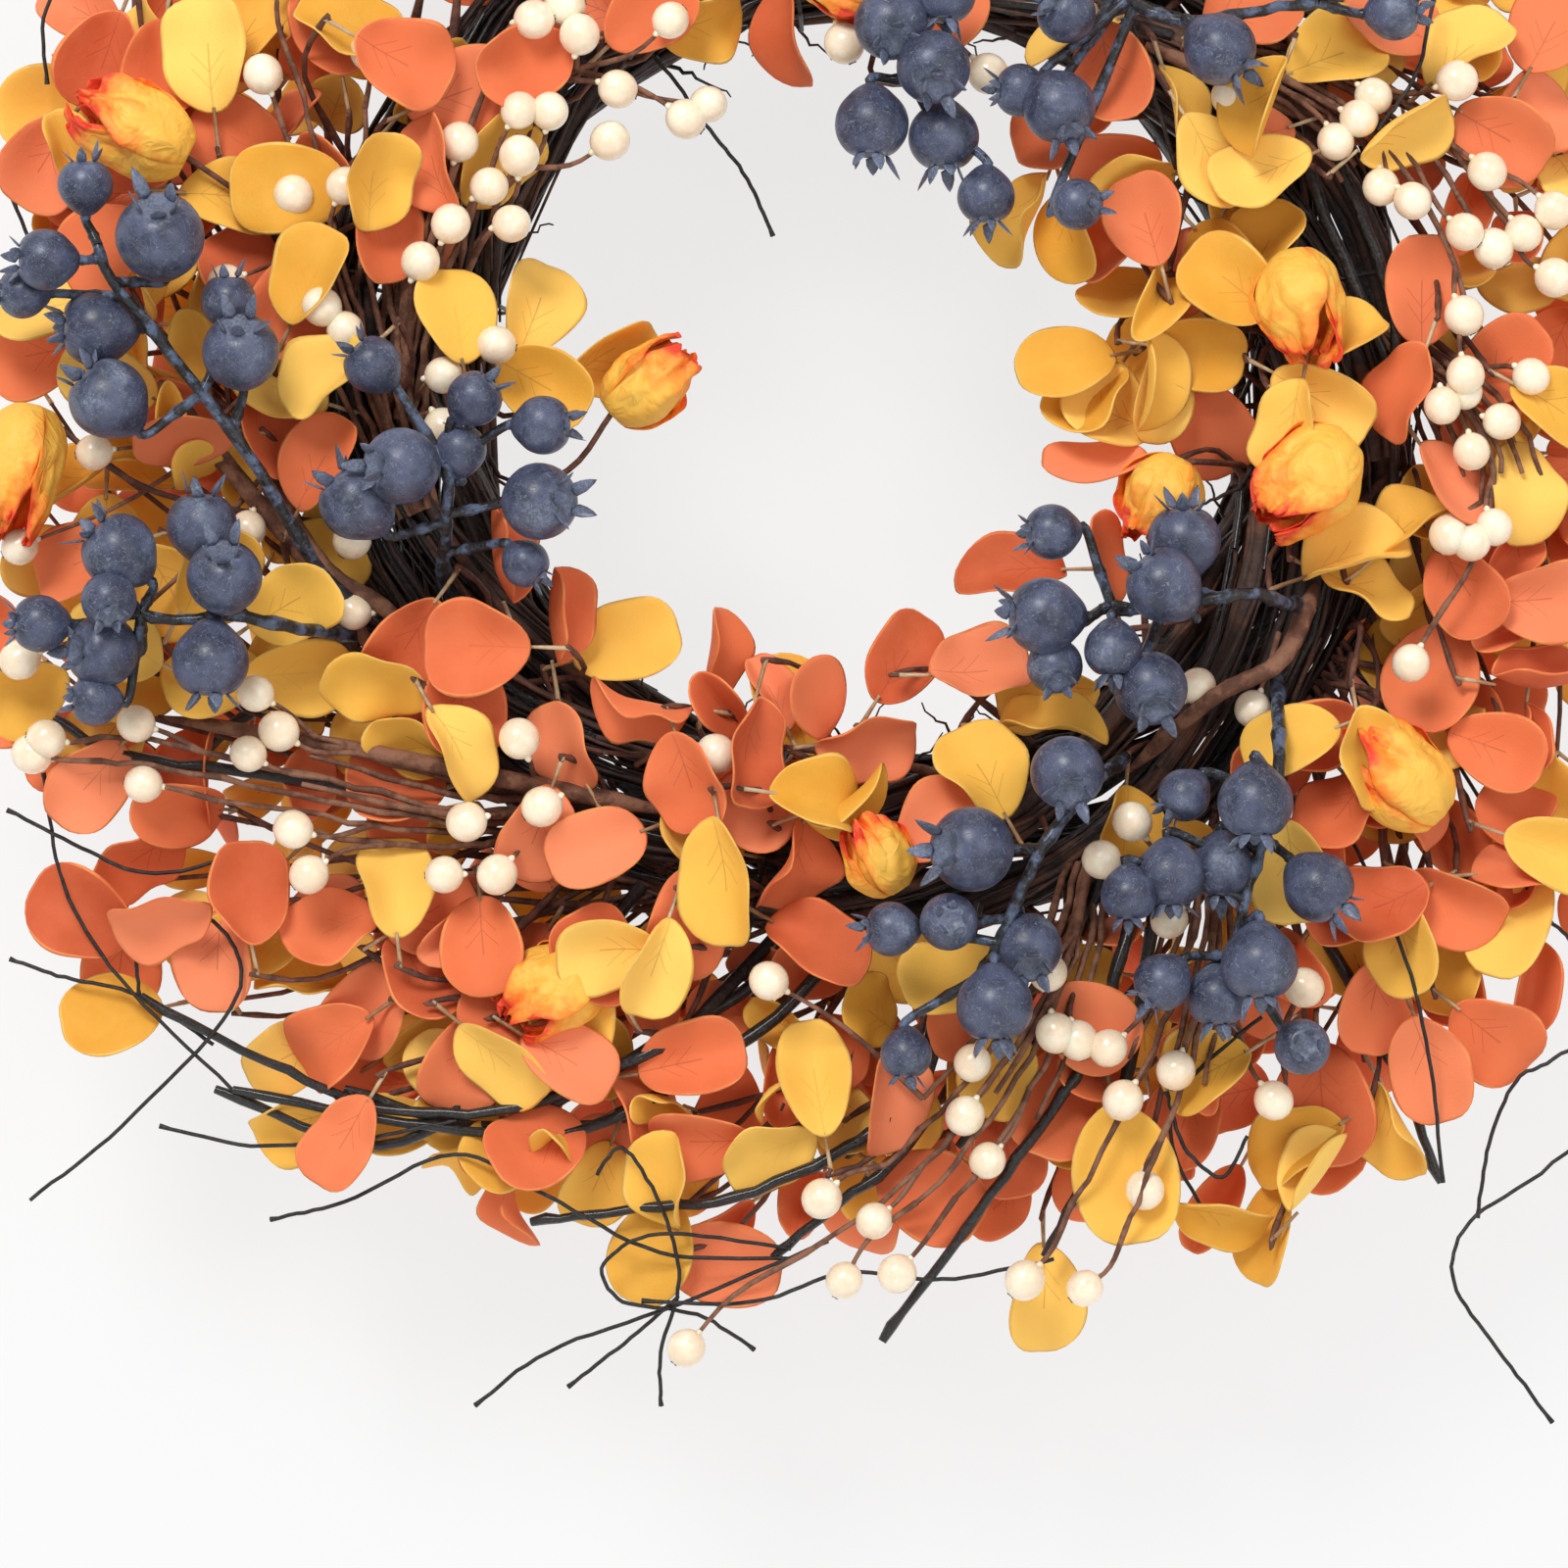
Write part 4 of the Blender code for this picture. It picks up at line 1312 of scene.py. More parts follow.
        shape = self._clearest(maker, tries(), True)
        base = shape.place.translation
        along = shape.place.col[0].xyz
        root = base - along * rng.uniform(6, 10) * MM - FRONT * rng.uniform(2, 4) * MM
        maker.petiole(base, root, rng)
        angle = math.atan2(plan.z, plan.x)
        flow = polar(angle + math.pi / 2, 1.0, 0.0) - CENTRE
        back = (flow.normalized() * 0.8 - ahead * 0.6).normalized()
        held = CORE + max(-14.0, min(20.0, radius - CORE))
        lines = []
        for k in range(self.stem_tries):
            target = polar(angle + 0.1 + 0.2 * min(1.0, outside) + rng.uniform(-0.05, 0.05) * k, held, 6)
            sag = FRONT * (3 + 1.5 * k) * MM
            mid = root + back * rng.uniform(6, 12) * MM + (target - root) * 0.25 - sag
            lines.append(smooth_line([target, mid, root, root + ahead * 1.5 * MM], 4))
        maker.stem(min(lines, key=CROWD.pierced), 0.95, 0.6)


# ---------------------------------------------------------------------------
# Cream berries


@dataclass
class SprayOfBerries:
    """A cream berry spray: the line of its stem and its berries on the plan."""

    route: list[Point]
    berries: list[Point]


CREAM_SPRAYS = {
    "left_outer": SprayOfBerries(
        [(-120, -35), (-132, 0, 36), (-142, 32, 40), (-150, 62, 42), (-158, 94, 42)],
        [(-160, 80), (-152, 48), (-138, 50), (-144, 18), (-132, 86), (-156, 108), (-138, 12)],
    ),
    "left_inner": SprayOfBerries(
        [(-125, -10), (-120, 20, 36), (-111, 50, 41), (-98, 84, 42), (-90, 98, 42)],
        [(-118, 30), (-98, 8), (-100, 50), (-92, 58), (-84, 70), (-66, 76), (-48, 68), (-76, 90),
         (-52, 94), (-42, 72), (-68, 62), (-88, 94), (-80, 98), (-108, 62), (-94, 40), (-110, 40),
         (-112, 0), (-92, 70), (-112, -14)],
    ),
    "left_lower": SprayOfBerries(
        [(-85, -115), (-112, -116, 33), (-150, -108, 40), (-190, -100, 42), (-214, -98, 42)],
        [(-222, -100), (-192, -108), (-164, -100), (-152, -120), (-148, -132), (-106, -118), (-194, -92),
         (-162, -84), (-156, -94), (-112, -132), (-98, -132), (-86, -114), (-92, -96), (-218, -96)],
    ),
    "right_upper": SprayOfBerries(
        [(85, 90), (110, 80, 37), (136, 62, 41), (154, 34, 42), (162, 4, 42)],
        [(96, 74), (134, 74), (124, 62), (144, 46), (164, 54), (158, 16), (182, 26), (158, 0), (130, 68),
         (156, 78), (136, 50), (158, 38), (166, 34), (174, 38), (182, 44)],
    ),
    "right_lower": SprayOfBerries(
        [(140, 15), (158, -6, 36), (166, -26, 41), (160, -50, 42), (146, -70, 42)],
        [(152, -8), (168, -12), (176, 0), (154, -42), (166, -40), (144, -76), (160, -44), (158, -4),
         (160, -20)],
    ),
    "bottom_left": SprayOfBerries(
        [(60, -130), (52, -158, 36), (34, -190, 41), (6, -222, 42), (-34, -248, 42)],
        [(50, -174), (28, -182), (26, -196), (2, -224), (-6, -240), (-48, -258), (-26, -160), (56, -176),
         (32, -208), (8, -238), (-12, -218), (48, -158)],
    ),
    "bottom_right": SprayOfBerries(
        [(95, -120), (92, -150, 34), (82, -186, 40), (70, -214, 42), (60, -234, 42)],
        [(64, -178), (68, -192), (82, -184), (108, -192), (74, -216), (42, -240), (58, -242), (80, -144),
         (70, -118), (116, -162), (62, -128)],
    ),
    "top": SprayOfBerries(
        [(-50, 120), (-34, 134, 36), (-8, 148, 41), (22, 158, 42)],
        [(-40, 148), (-20, 132), (-6, 162), (10, 144), (20, 172), (-6, 88), (32, 80)],
    ),
}
LOOSE_BERRIES = [
    (-205, -20, 40), (-225, -45, 38), (-225, -75, 38), (-137, -43, 34), (-137, -62, 31), (-165, -40, 32),
    (-40, -100, 44), (88, -82, 35), (103, -88, 32), (-170, 25, 40),
]


@dataclass
class CreamBerries:
    """Cream berries on paper-wrapped stems."""

    radius: float = 5.4
    lift: float = 45.0
    fan: int = 7

    def build(self, finishes: Finishes) -> None:
        """Builds every spray."""
        rng = random.Random(5)
        for name, spray in CREAM_SPRAYS.items():
            self._spray(name, spray, finishes, rng, [f"cream_berry_spray_{name}"])
        loose_stems, loose = Strands("paper_stems_loose"), Shells("cream_berries_loose")
        for x, z, lift in LOOSE_BERRIES:
            place = seat(x, z, lift)
            a = math.atan2(z, x)
            back = polar(a + rng.choice((-0.16, 0.16)), CORE + (math.hypot(x, z) - CORE) * 0.35, 22)
            self._hung(loose_stems, loose, back, place, rng)
        loose_stems.finish("base", "cream_berry", [], finishes["paper_stem"])
        loose.finish("base", "cream_berry", [], finishes["cream"], finishes["berry_eye"])

    def _lift(self, x: float, z: float, rng: random.Random) -> float:
        """How far a berry stands out."""
        out = max(0.0, math.hypot(x, z) - CORE - 26) / 80
        return self.lift - 8 * min(1.0, out) + rng.uniform(-2.5, 2.5)

    def _spray(
        self, name: str, spray: SprayOfBerries, finishes: Finishes, rng: random.Random, nodes: list[str]
    ) -> None:
        """Builds one spray: a fan of long stems, and each berry on a fork of one.

        Args:
            name: The spray's name.
            spray: Its plan.
            finishes: The materials.
            rng: Draws the lifts of the berries and how the stems stray.
            nodes: The CAD nodes that it stands for.
        """
        stems, berries = Strands(f"paper_stems_{name}", 2), Shells(f"cream_berries_{name}")
        main = smooth_line(rooted(spray.route, SECTION), 6)
        lines = [main, *(self._beside(main, k, rng) for k in range(1, self.fan))]
        used = [0] * len(lines)
        for x, z in spray.berries:
            place = seat(x, z, self._lift(x, z, rng))
            spots = [(i, j) for i, line in enumerate(lines) for j in range(len(line))]
            i, j = min(spots, key=lambda spot: (lines[spot[0]][spot[1]] - place).length)
            at = max(0, j - 3)
            used[i] = max(used[i], at)
            self._hung(stems, berries, lines[i][at], place, rng)
        for k, (line, last) in enumerate(zip(lines, used)):
            kept = line[: max(last, int(len(line) * 0.5)) + 1]
            if len(kept) > 3:
                stems.add(kept, knobbly(tapered(len(kept), 1.35 if k == 0 else 1.05, 0.7), 6, 1.2))
        stems.finish("base", "cream_berry", nodes, finishes["paper_stem"])
        berries.finish("base", "cream_berry", nodes, finishes["cream"], finishes["berry_eye"])

    def _beside(self, main: Sequence[Vector], k: int, rng: random.Random) -> list[Vector]:
        """A stem that runs beside the main one, k-th of the fan."""
        offset = (k - self.fan / 2) * 6.5 * MM
        line = []
        for i, point in enumerate(main):
            share = i / (len(main) - 1)
            ahead = main[min(i + 1, len(main) - 1)] - main[max(i - 1, 0)]
            across = ahead.cross(FRONT).normalized()
            sway = math.sin(share * 3.0 + k)
            line.append(point + across * offset * (0.3 + share) - FRONT * (4 + 3 * sway) * MM)
        return wander(line, 0.7, rng)

    def _hung(
        self, stems: Strands, berries: Shells, root: Vector, place: Vector, rng: random.Random
    ) -> None:
        """Adds a fork and the berry at its end.

        Args:
            stems: The forks of the spray.
            berries: The berries of the spray.
            root: The point of a stem that the fork leaves from.
            place: The middle of the berry.
            rng: Draws the bow of the fork, the berry's size and whether it has an eye.
        """
        CROWD.add_ball(place, self.radius * MM * 1.15)
        gap = place - root
        side = gap.cross(FRONT).normalized() * rng.uniform(-0.15, 0.15) * gap.length
        middle = root + gap * 0.55 + side
        line = smooth_line([root, middle, place], 4)
        stems.add(line, tapered(len(line), 0.9, 0.5))
        along = (place - line[-2]).normalized()
        size = self.radius * MM * rng.uniform(0.94, 1.06)
        turn = Matrix.Translation(place) @ turned_to(FRONT, along)
        berries.add_ball(turn @ Matrix.Diagonal((size, size, size, 1)), 14, 10, rng.random())
        neck = turn @ Matrix.Translation((0, 0, -1.25 * size)) @ Matrix.Diagonal((size, size, size, 1))
        berries.add_spike(neck, 0.16, 0.34, 0.5, 0.0)
        if rng.random() < 0.45:
            eye = turn @ Matrix.Translation((0, 0, 0.93 * size)) @ Matrix.Diagonal((size, size, size, 1))
            for k in range(6):
                spin = Matrix.Rotation(k * math.pi / 3 + rng.uniform(0, 0.5), 4, "Z")
                tilt = Matrix.Rotation(math.radians(70), 4, "Y")
                berries.add_spike(eye @ spin @ tilt, 0.09, 0.03, 0.24, 0.0, 1)


# ---------------------------------------------------------------------------
# Blueberry picks


@dataclass
class PickPlan:
    """A blueberry pick: the line of its stem and its berries, each (x, z, lift, radius)."""

    route: list[Point]
    berries: list[Point]
    facings: list[Facing]


F = Facing
PICKS = {
    "left_upper": PickPlan(
        [(-127, -64), (-144, -53, 38), (-160, -26, 50), (-179, 0, 56), (-198, 24, 58), (-204, 38, 58)],
        [(-205, 49, 60, 7.5), (-185, 35, 64, 12), (-215, 29, 64, 8.3), (-222, 21, 56, 7),
         (-203, 12, 52, 10.4), (-199, -7, 60, 10.8), (-168, 19, 55, 7.5), (-164, 5, 63, 10.4)],
        [F.UP, F.UP_FRONT, F.LEFT, F.LEFT, F.LEFT, F.UP_LEFT, F.UP, F.UP_FRONT],
    ),
    "left_middle": PickPlan(
        [(-113, -56), (-112, -44, 44), (-110, -32, 55), (-112, -18, 58)],
        [(-130, 2, 58, 7.8), (-103, -7, 60, 7.5), (-85, -14, 60, 8), (-122, -25, 64, 10.4),
         (-134, -34, 58, 10.4), (-107, -20, 54, 7), (-86, -34, 60, 10.4), (-90, -50, 52, 6.5)],
        [F.UP_LEFT, F.UP_RIGHT, F.RIGHT, F.LEFT_FRONT, F.UP_LEFT, F.UP, F.RIGHT_FRONT, F.DOWN_RIGHT],
    ),
    "left_lower": PickPlan(
        [(-132, -68), (-150, -67, 46), (-166, -64, 56), (-182, -65, 58), (-196, -62, 58)],
        [(-196, -47, 62, 10.2), (-175, -40, 55, 9.6), (-168, -54, 66, 10.2), (-198, -60, 67, 7.5),
         (-217, -66, 60, 7.8), (-201, -73, 56, 10), (-172, -76, 62, 10.4), (-203, -86, 56, 7)],
        [F.UP_LEFT, F.UP, F.UP_FRONT, F.DOWN_FRONT, F.LEFT, F.LEFT_FRONT, F.DOWN, F.LEFT],
    ),
    "top_hanging": PickPlan(
        [(18, 114), (16, 106, 44), (14, 94, 55), (12, 80, 57), (18, 62, 56)],
        [(6, 91, 62, 10), (17, 79, 66, 10), (20, 99, 60, 8.6), (1, 65, 58, 10), (20, 62, 54, 9.6),
         (31, 46, 58, 7.8)],
        [F.DOWN_FRONT, F.DOWN_FRONT, F.DOWN, F.DOWN, F.DOWN, F.DOWN],
    ),
    "top_left": PickPlan(
        [(-70, 108), (-74, 118, 44), (-84, 132, 54), (-96, 146, 57), (-110, 162, 58)],
        [(-122, 150, 60, 10), (-98, 170, 62, 9.8), (-118, 178, 57, 8), (-78, 146, 60, 8.4),
         (-108, 134, 56, 7.4), (-92, 124, 62, 7.6)],
        [F.LEFT, F.UP, F.UP_LEFT, F.UP_RIGHT, F.DOWN_LEFT, F.RIGHT_FRONT],
    ),
    "top_right": PickPlan(
        [(60, 112), (66, 104, 44), (72, 96, 54), (86, 92, 57), (108, 96, 57), (124, 98, 57)],
        [(92, 84, 63, 9.8), (138, 94, 60, 7.5), (50, 69, 62, 9.8), (40, 74, 57, 7.2), (55, 44, 58, 7),
         (52, 94, 58, 8), (122, 107, 58, 8)],
        [F.DOWN_RIGHT, F.RIGHT, F.RIGHT, F.LEFT, F.RIGHT_FRONT, F.UP, F.RIGHT],
    ),
    "top_outer": PickPlan(
        [(42, 128), (44, 138, 42), (48, 150, 52), (58, 168, 54)],
        [(34, 156, 56, 10), (62, 152, 57, 9.5), (80, 158, 55, 7.8), (46, 178, 55, 7.5), (68, 182, 58, 10)],
        [F.LEFT, F.RIGHT_FRONT, F.RIGHT, F.UP_LEFT, F.UP],
    ),
    "right_middle": PickPlan(
        [(117, -60), (110, -60, 44), (100, -58, 56), (86, -60, 58), (72, -62, 58), (58, -60, 58)],
        [(48, -42, 60, 7.6), (46, -64, 62, 10.4), (83, -44, 56, 10), (77, -56, 66, 10.2),
         (64, -73, 63, 7.8), (49, -77, 58, 7.6), (74, -83, 60, 10)],
        [F.DOWN, F.LEFT, F.UP, F.UP_LEFT, F.DOWN, F.DOWN_FRONT, F.DOWN_FRONT],
    ),
    "right_lower": PickPlan(
        [(110, -80), (109, -90, 42), (108, -104, 54), (104, -122, 57), (98, -142, 57), (97, -160, 56)],
        [(83, -111, 56, 7.2), (101, -113, 66, 10.2), (93, -130, 54, 9), (79, -132, 60, 9.4),
         (68, -137, 65, 7.6), (118, -135, 61, 9.6), (102, -155, 66, 10.4), (77, -160, 60, 7.8),
         (92, -164, 54, 8.6), (114, -177, 57, 7.6)],
        [F.DOWN_LEFT, F.DOWN, F.DOWN, F.DOWN, F.DOWN, F.DOWN_RIGHT, F.DOWN, F.DOWN_LEFT, F.DOWN, F.FRONT],
    ),
    "bottom": PickPlan(
        [(69, -101), (62, -106, 44), (52, -116, 55), (42, -132, 58), (34, -150, 58), (26, -164, 57)],
        [(52, -105, 64, 10), (27, -125, 64, 11.5), (6, -146, 60, 7.4), (21, -144, 64, 7.8),
         (42, -151, 54, 9.4), (33, -166, 65, 10.4), (10, -179, 57, 7)],
        [F.DOWN_FRONT, F.LEFT_FRONT, F.LEFT, F.FRONT, F.DOWN_FRONT, F.DOWN, F.DOWN],
    ),
}


@dataclass
class BlueberryPicks:
    """Moulded picks, each on its own body so that it bends at the base."""

    stem: float = 1.9
    fork: float = 1.15
    sepals: int = 5
    bends: tuple[float, ...] = (0.0, 7.0, 14.0)

    def build(self, finishes: Finishes) -> None:
        """Builds every pick."""
        rng = random.Random(31)
        for name, plan in PICKS.items():
            body, cad = f"pick_{name}", f"blueberry_pick_{name}"
            stems, berries = Strands(f"blue_stems_{name}", 3), Shells(f"blueberries_{name}")
            main = smooth_line(rooted(plan.route, SECTION + PICK_GAP), 5)
            main = wander(main, 0.35, rng)
            used = [
                self._berry(stems, berries, main, berry, facing.vector(), rng)
                for berry, facing in zip(plan.berries, plan.facings)
            ]
            main = main[: max(used) + 1]
            stems.add(main, knobbly(tapered(len(main), self.stem, self.stem * 0.72), 5, 1.28))
            stems.finish(body, "blueberry", [cad], finishes["blue_stem"])
            berries.finish(body, "blueberry", [cad], finishes["blueberry"])

    def _berry(
        self,
        stems: Strands,
        berries: Shells,
        main: Sequence[Vector],
        berry: Point,
        crown: Vector,
        rng: random.Random,
    ) -> int:
        """Adds one berry and the fork that it grows on.

        The berry is noted where it lies at each of the bends, so that leaves are laid clear of them.

        Args:
            stems: The forks of the pick.
            berries: The berries of the pick.
            main: Its main stem.
            berry: The berry's place on the plan, its lift and its radius.
            crown: The way that its crown points.
            rng: Draws the turns and depths of the sepals.

        Returns:
            The point of the main stem that the fork leaves from.
        """
        x, z, lift, radius = berry
        place, size = seat(x, z, lift), radius * MM
        out = main[-1] - main[0]
        out.y = 0.0
        for degrees in self.bends:
            bent = Matrix.Rotation(math.radians(degrees), 4, out.cross(FRONT))
            CROWD.add_ball(main[0] + bent @ (place - main[0]), size * 1.15)
        near = min(range(len(main)), key=lambda i: (main[i] - place).length)
        start = max(1, near - 2)
        root = main[start]
        away = (place - root).normalized()
        if crown.dot(away) < -0.3:
            crown = (crown + away * 1.2).normalized()
        neck = place - crown * size * 1.25
        bow = root + (neck - root) * 0.55 - FRONT * 1.5 * MM
        line = smooth_line([root, bow, neck, place - crown * size * 0.8], 4)
        stems.add(line, knobbly(tapered(len(line), self.fork * 1.25, self.fork), 6, 1.25))
        turn = Matrix.Translation(place) @ turned_to(crown.orthogonal(), crown)
        scaled = turn @ Matrix.Diagonal((size, size, size * 0.97, 1))
        made = berries.add_ball(Matrix.Identity(4), 18, 14)
        for vert in made:
            up = vert.co.z
            if up > 0.86:
                vert.co.z = 0.86 + (up - 0.86) * 0.5 - 0.22 * ((up - 0.86) / 0.14) ** 2
                vert[berries.tint] = 0.35
            elif up < -0.8:
                vert.co.z -= 0.16 * (-up - 0.8) / 0.2
            puff = 1 + 0.02 * noise.noise(vert.co * 2.0 + place * 40)
            vert.co = scaled @ (vert.co * puff)
        for k in range(self.sepals):
            spin = Matrix.Rotation(2 * math.pi * k / self.sepals + rng.uniform(-0.15, 0.15), 4, "Z")
            ring = Matrix.Translation((0.34, 0, 0.76))
            lean = Matrix.Rotation(math.radians(rng.uniform(10, 52)), 4, "Y")
            flat = Matrix.Diagonal((0.2, 1.0, 1.0, 1.0))
            berries.add_spike(scaled @ spin @ ring @ lean @ flat, 0.46, 0.02, rng.uniform(0.5, 0.95), 0.3)
        return start


# ---------------------------------------------------------------------------
# Flower buds


@dataclass
class BudPlan:
    """A flower bud: the line of its wire, the way that it points (x, z) and its length."""

    route: list[Point]
    way: Point
    length: float = 32.0
    girth: float = 11.5


BUDS = {
    "left_top": BudPlan([(-140, 26), (-160, 44, 34), (-180, 58, 42)], (-0.9, 0.45), 34, 12),
    "left_edge": BudPlan([(-144, -38), (-190, -30, 34), (-221, -8, 38)], (-0.2, -1.0), 36, 12),
    "opening_left": BudPlan([(-104, -34), (-80, -24, 24), (-68, -9, 30)], (0.75, 0.65), 27, 10.5),
    "opening_bottom": BudPlan([(32, -116), (20, -124, 36), (8, -136, 42)], (-0.5, 0.8), 22, 9.5),
    "bottom_left": BudPlan([(-66, -128), (-72, -146, 32), (-72, -156, 30)], (-0.75, -0.5), 30, 12),
    "right_top": BudPlan([(116, 46), (114, 38, 38), (113, 33, 44)], (0.15, -1.0), 31, 11.5),
    "right_middle": BudPlan([(132, -22), (130, -20, 38), (128, -18, 44)], (-0.75, -0.65), 34, 13),
    "opening_right": BudPlan([(102, -22), (92, -22, 28), (84, -22, 31)], (-0.5, -0.85), 24, 10.5),
    "right_edge": BudPlan([(124, -84), (146, -108, 28), (152, -117, 34)], (-0.7, 0.7), 33, 12.5),
    "top": BudPlan([(-26, 128), (-24, 124, 38), (-18, 116, 44)], (0.7, -0.6), 28, 11),
}


@dataclass
class FlowerBuds:
    """Closed buds of crinkled overlapping petals."""

    petals: int = 6

    def build(self, finishes: Finishes) -> None:
        """Builds every bud."""
        rng = random.Random(17)
        for name, plan in BUDS.items():
            wire, petals = Strands(f"bud_wire_{name}", 2), Shells(f"bud_{name}")
            line = smooth_line(rooted(plan.route, SECTION), 5)
            way = Vector((plan.way[0], -0.15, plan.way[1])).normalized()
            wire.add([*line, line[-1] + way * 3 * MM], tapered(len(line) + 1, 0.9, 0.8))
            turn = Matrix.Translation(line[-1]) @ turned_to(way, FRONT)
            CROWD.add_ball(line[-1] + way * plan.length * 0.4 * MM, plan.girth * 1.1 * MM)
            for k in range(self.petals):
                self._petal(petals, turn, plan, k, rng)
            cad = f"flower_bud_{name}"
            wire.finish("base", "flower_petal", [cad], finishes["leaf_stem"])
            petals.finish(
                "base", "flower_petal", [cad], finishes["bud_paper"], finishes["bud_paper"], wall=0.0005
            )

    def _petal(self, petals: Shells, turn: Matrix, plan: BudPlan, k: int, rng: random.Random) -> None:
        """Adds one petal, wrapped round the bud and crinkled.

        Args:
            petals: The petals of the bud.
            turn: Carries +X to the way that the bud points, from the end of its wire.
            plan: The bud's plan.
            k: Which petal it is, the innermost first.
            rng: Draws its turn, reach and crinkles.
        """
        middle = 2 * math.pi * k / self.petals * 2.0 + rng.uniform(-0.2, 0.2)
        layer = 0.84 + 0.05 * k
        reach = rng.uniform(0.86, 1.04)
        wrap = rng.uniform(0.95, 1.25)
        seed = Vector((k * 3.1, rng.uniform(0, 9), rng.uniform(0, 9)))
        made = bmesh.ops.create_grid(
            petals.bm, x_segments=16, y_segments=14, size=1.0, calc_uvs=True
        )["verts"]
        petals.settle(made, 0.0, 0)
        for vert in made:
            share = (vert.co.x + 1) / 2
            side = vert.co.y
            narrow = 1.0 - 0.45 * max(0.0, share - 0.6) / 0.4
            angle = middle + side * wrap * narrow
            swell = math.sin(math.pi * (0.10 + 0.78 * share ** 0.85)) ** 0.75
            crinkle = noise.noise(Vector((share * 2.0, angle * 1.5, 0)) + seed) * 0.3
            crinkle += noise.noise(Vector((share * 2.8, angle * 5.0, 4)) + seed) * 0.15
            crinkle -= abs(noise.noise(Vector((share * 3.5, angle * 4.0, 9)) + seed)) * 0.34
            curl = 0.14 * abs(side) ** 3 * share
            girth = plan.girth * MM * layer * (swell + curl + crinkle * (0.25 + share))
            ragged = 0.07 * noise.noise(Vector((angle * 3, k, 7)) + seed) * share
            far = (share * reach + ragged) * plan.length * MM
            vert[petals.tint] = min(1.0, 0.85 * share**2.6 + 0.45 * abs(side) ** 4 + 0.1 * (k % 2))
            vert.co = turn @ Vector((far, girth * math.cos(angle), girth * math.sin(angle)))


# ---------------------------------------------------------------------------
# Black twigs, wires and thick stems

BLACK_TWIGS = {
    "bottom_long": [
        [(-25, -150), (-50, -175, 26), (-70, -185, 27), (-95, -195, 27), (-130, -195, 25),
         (-155, -185, 24), (-195, -165, 22)],
        [(0, -145), (-30, -175, 22), (-75, -200, 24), (-115, -200, 25), (-170, -190, 22)],
        [(-10, -150), (-60, -180, 20), (-100, -200, 22), (-140, -190, 22)],
    ],
    "bottom_middle": [
        [(25, -145), (10, -190, 28), (-5, -205, 30), (-35, -218, 30), (-65, -222, 28), (-90, -225, 26)],
        [(30, -140), (15, -190, 26), (8, -208, 28), (-10, -222, 29), (-25, -235, 28)],
        [(-60, -135), (-100, -185, 20), (-130, -205, 22), (-175, -190, 20)],
    ],
    "bottom_right": [
        [(75, -125), (68, -155, 26), (58, -182, 30), (40, -208, 32), (20, -235, 34), (4, -256, 34)],
        [(80, -125), (70, -185, 24), (60, -210, 26), (48, -235, 26)],
        [(65, -130), (45, -175, 22), (25, -205, 24)],
    ],
    "right_low": [[(100, -110), (130, -160, 14), (145, -190, 14), (155, -215, 14)]],
    "left_low": [
        [(-130, -70), (-175, -95, 10), (-195, -125, 9), (-205, -150, 10)],
        [(-100, -105), (-130, -110, 22), (-165, -105, 27), (-200, -100, 28), (-218, -90, 26)],
    ],
    "right_top": [
        [(90, 115), (130, 100, 24), (160, 95, 26), (195, 90, 24)],
        [(90, 110), (135, 95, 20), (170, 95, 22), (205, 85, 20)],
        [(110, 90), (125, 60, 30), (140, 20, 30), (140, -10, 26)],
        [(110, 85), (120, 50, 30), (135, 15, 28), (145, -10, 26)],
    ],
}
THICK_STEMS = [
    [(-165, -20, 20), (-145, -50, 30), (-125, -65, 30), (-110, -100, 18)],
    [(-120, 90, 26), (-120, 50, 33), (-122, 25, 34), (-125, -10, 22)],
    [(120, -55, 28), (110, -75, 38), (92, -85, 40), (70, -105, 22)],
    [(75, 90, 24), (120, 70, 33), (150, 65, 33), (180, 55, 24)],
    [(-95, 95, 24), (-105, 65, 33), (-115, 30, 34), (-110, -10, 22)],
    [(-55, -115, 24), (-100, -106, 31), (-140, -98, 31), (-190, -90, 22)],
    [(-190, 0, 20), (-165, -30, 28), (-142, -58, 27), (-120, -90, 20)],
    [(-125, 25, 24), (-108, 62, 33), (-86, 88, 32), (-65, 110, 18)],
]
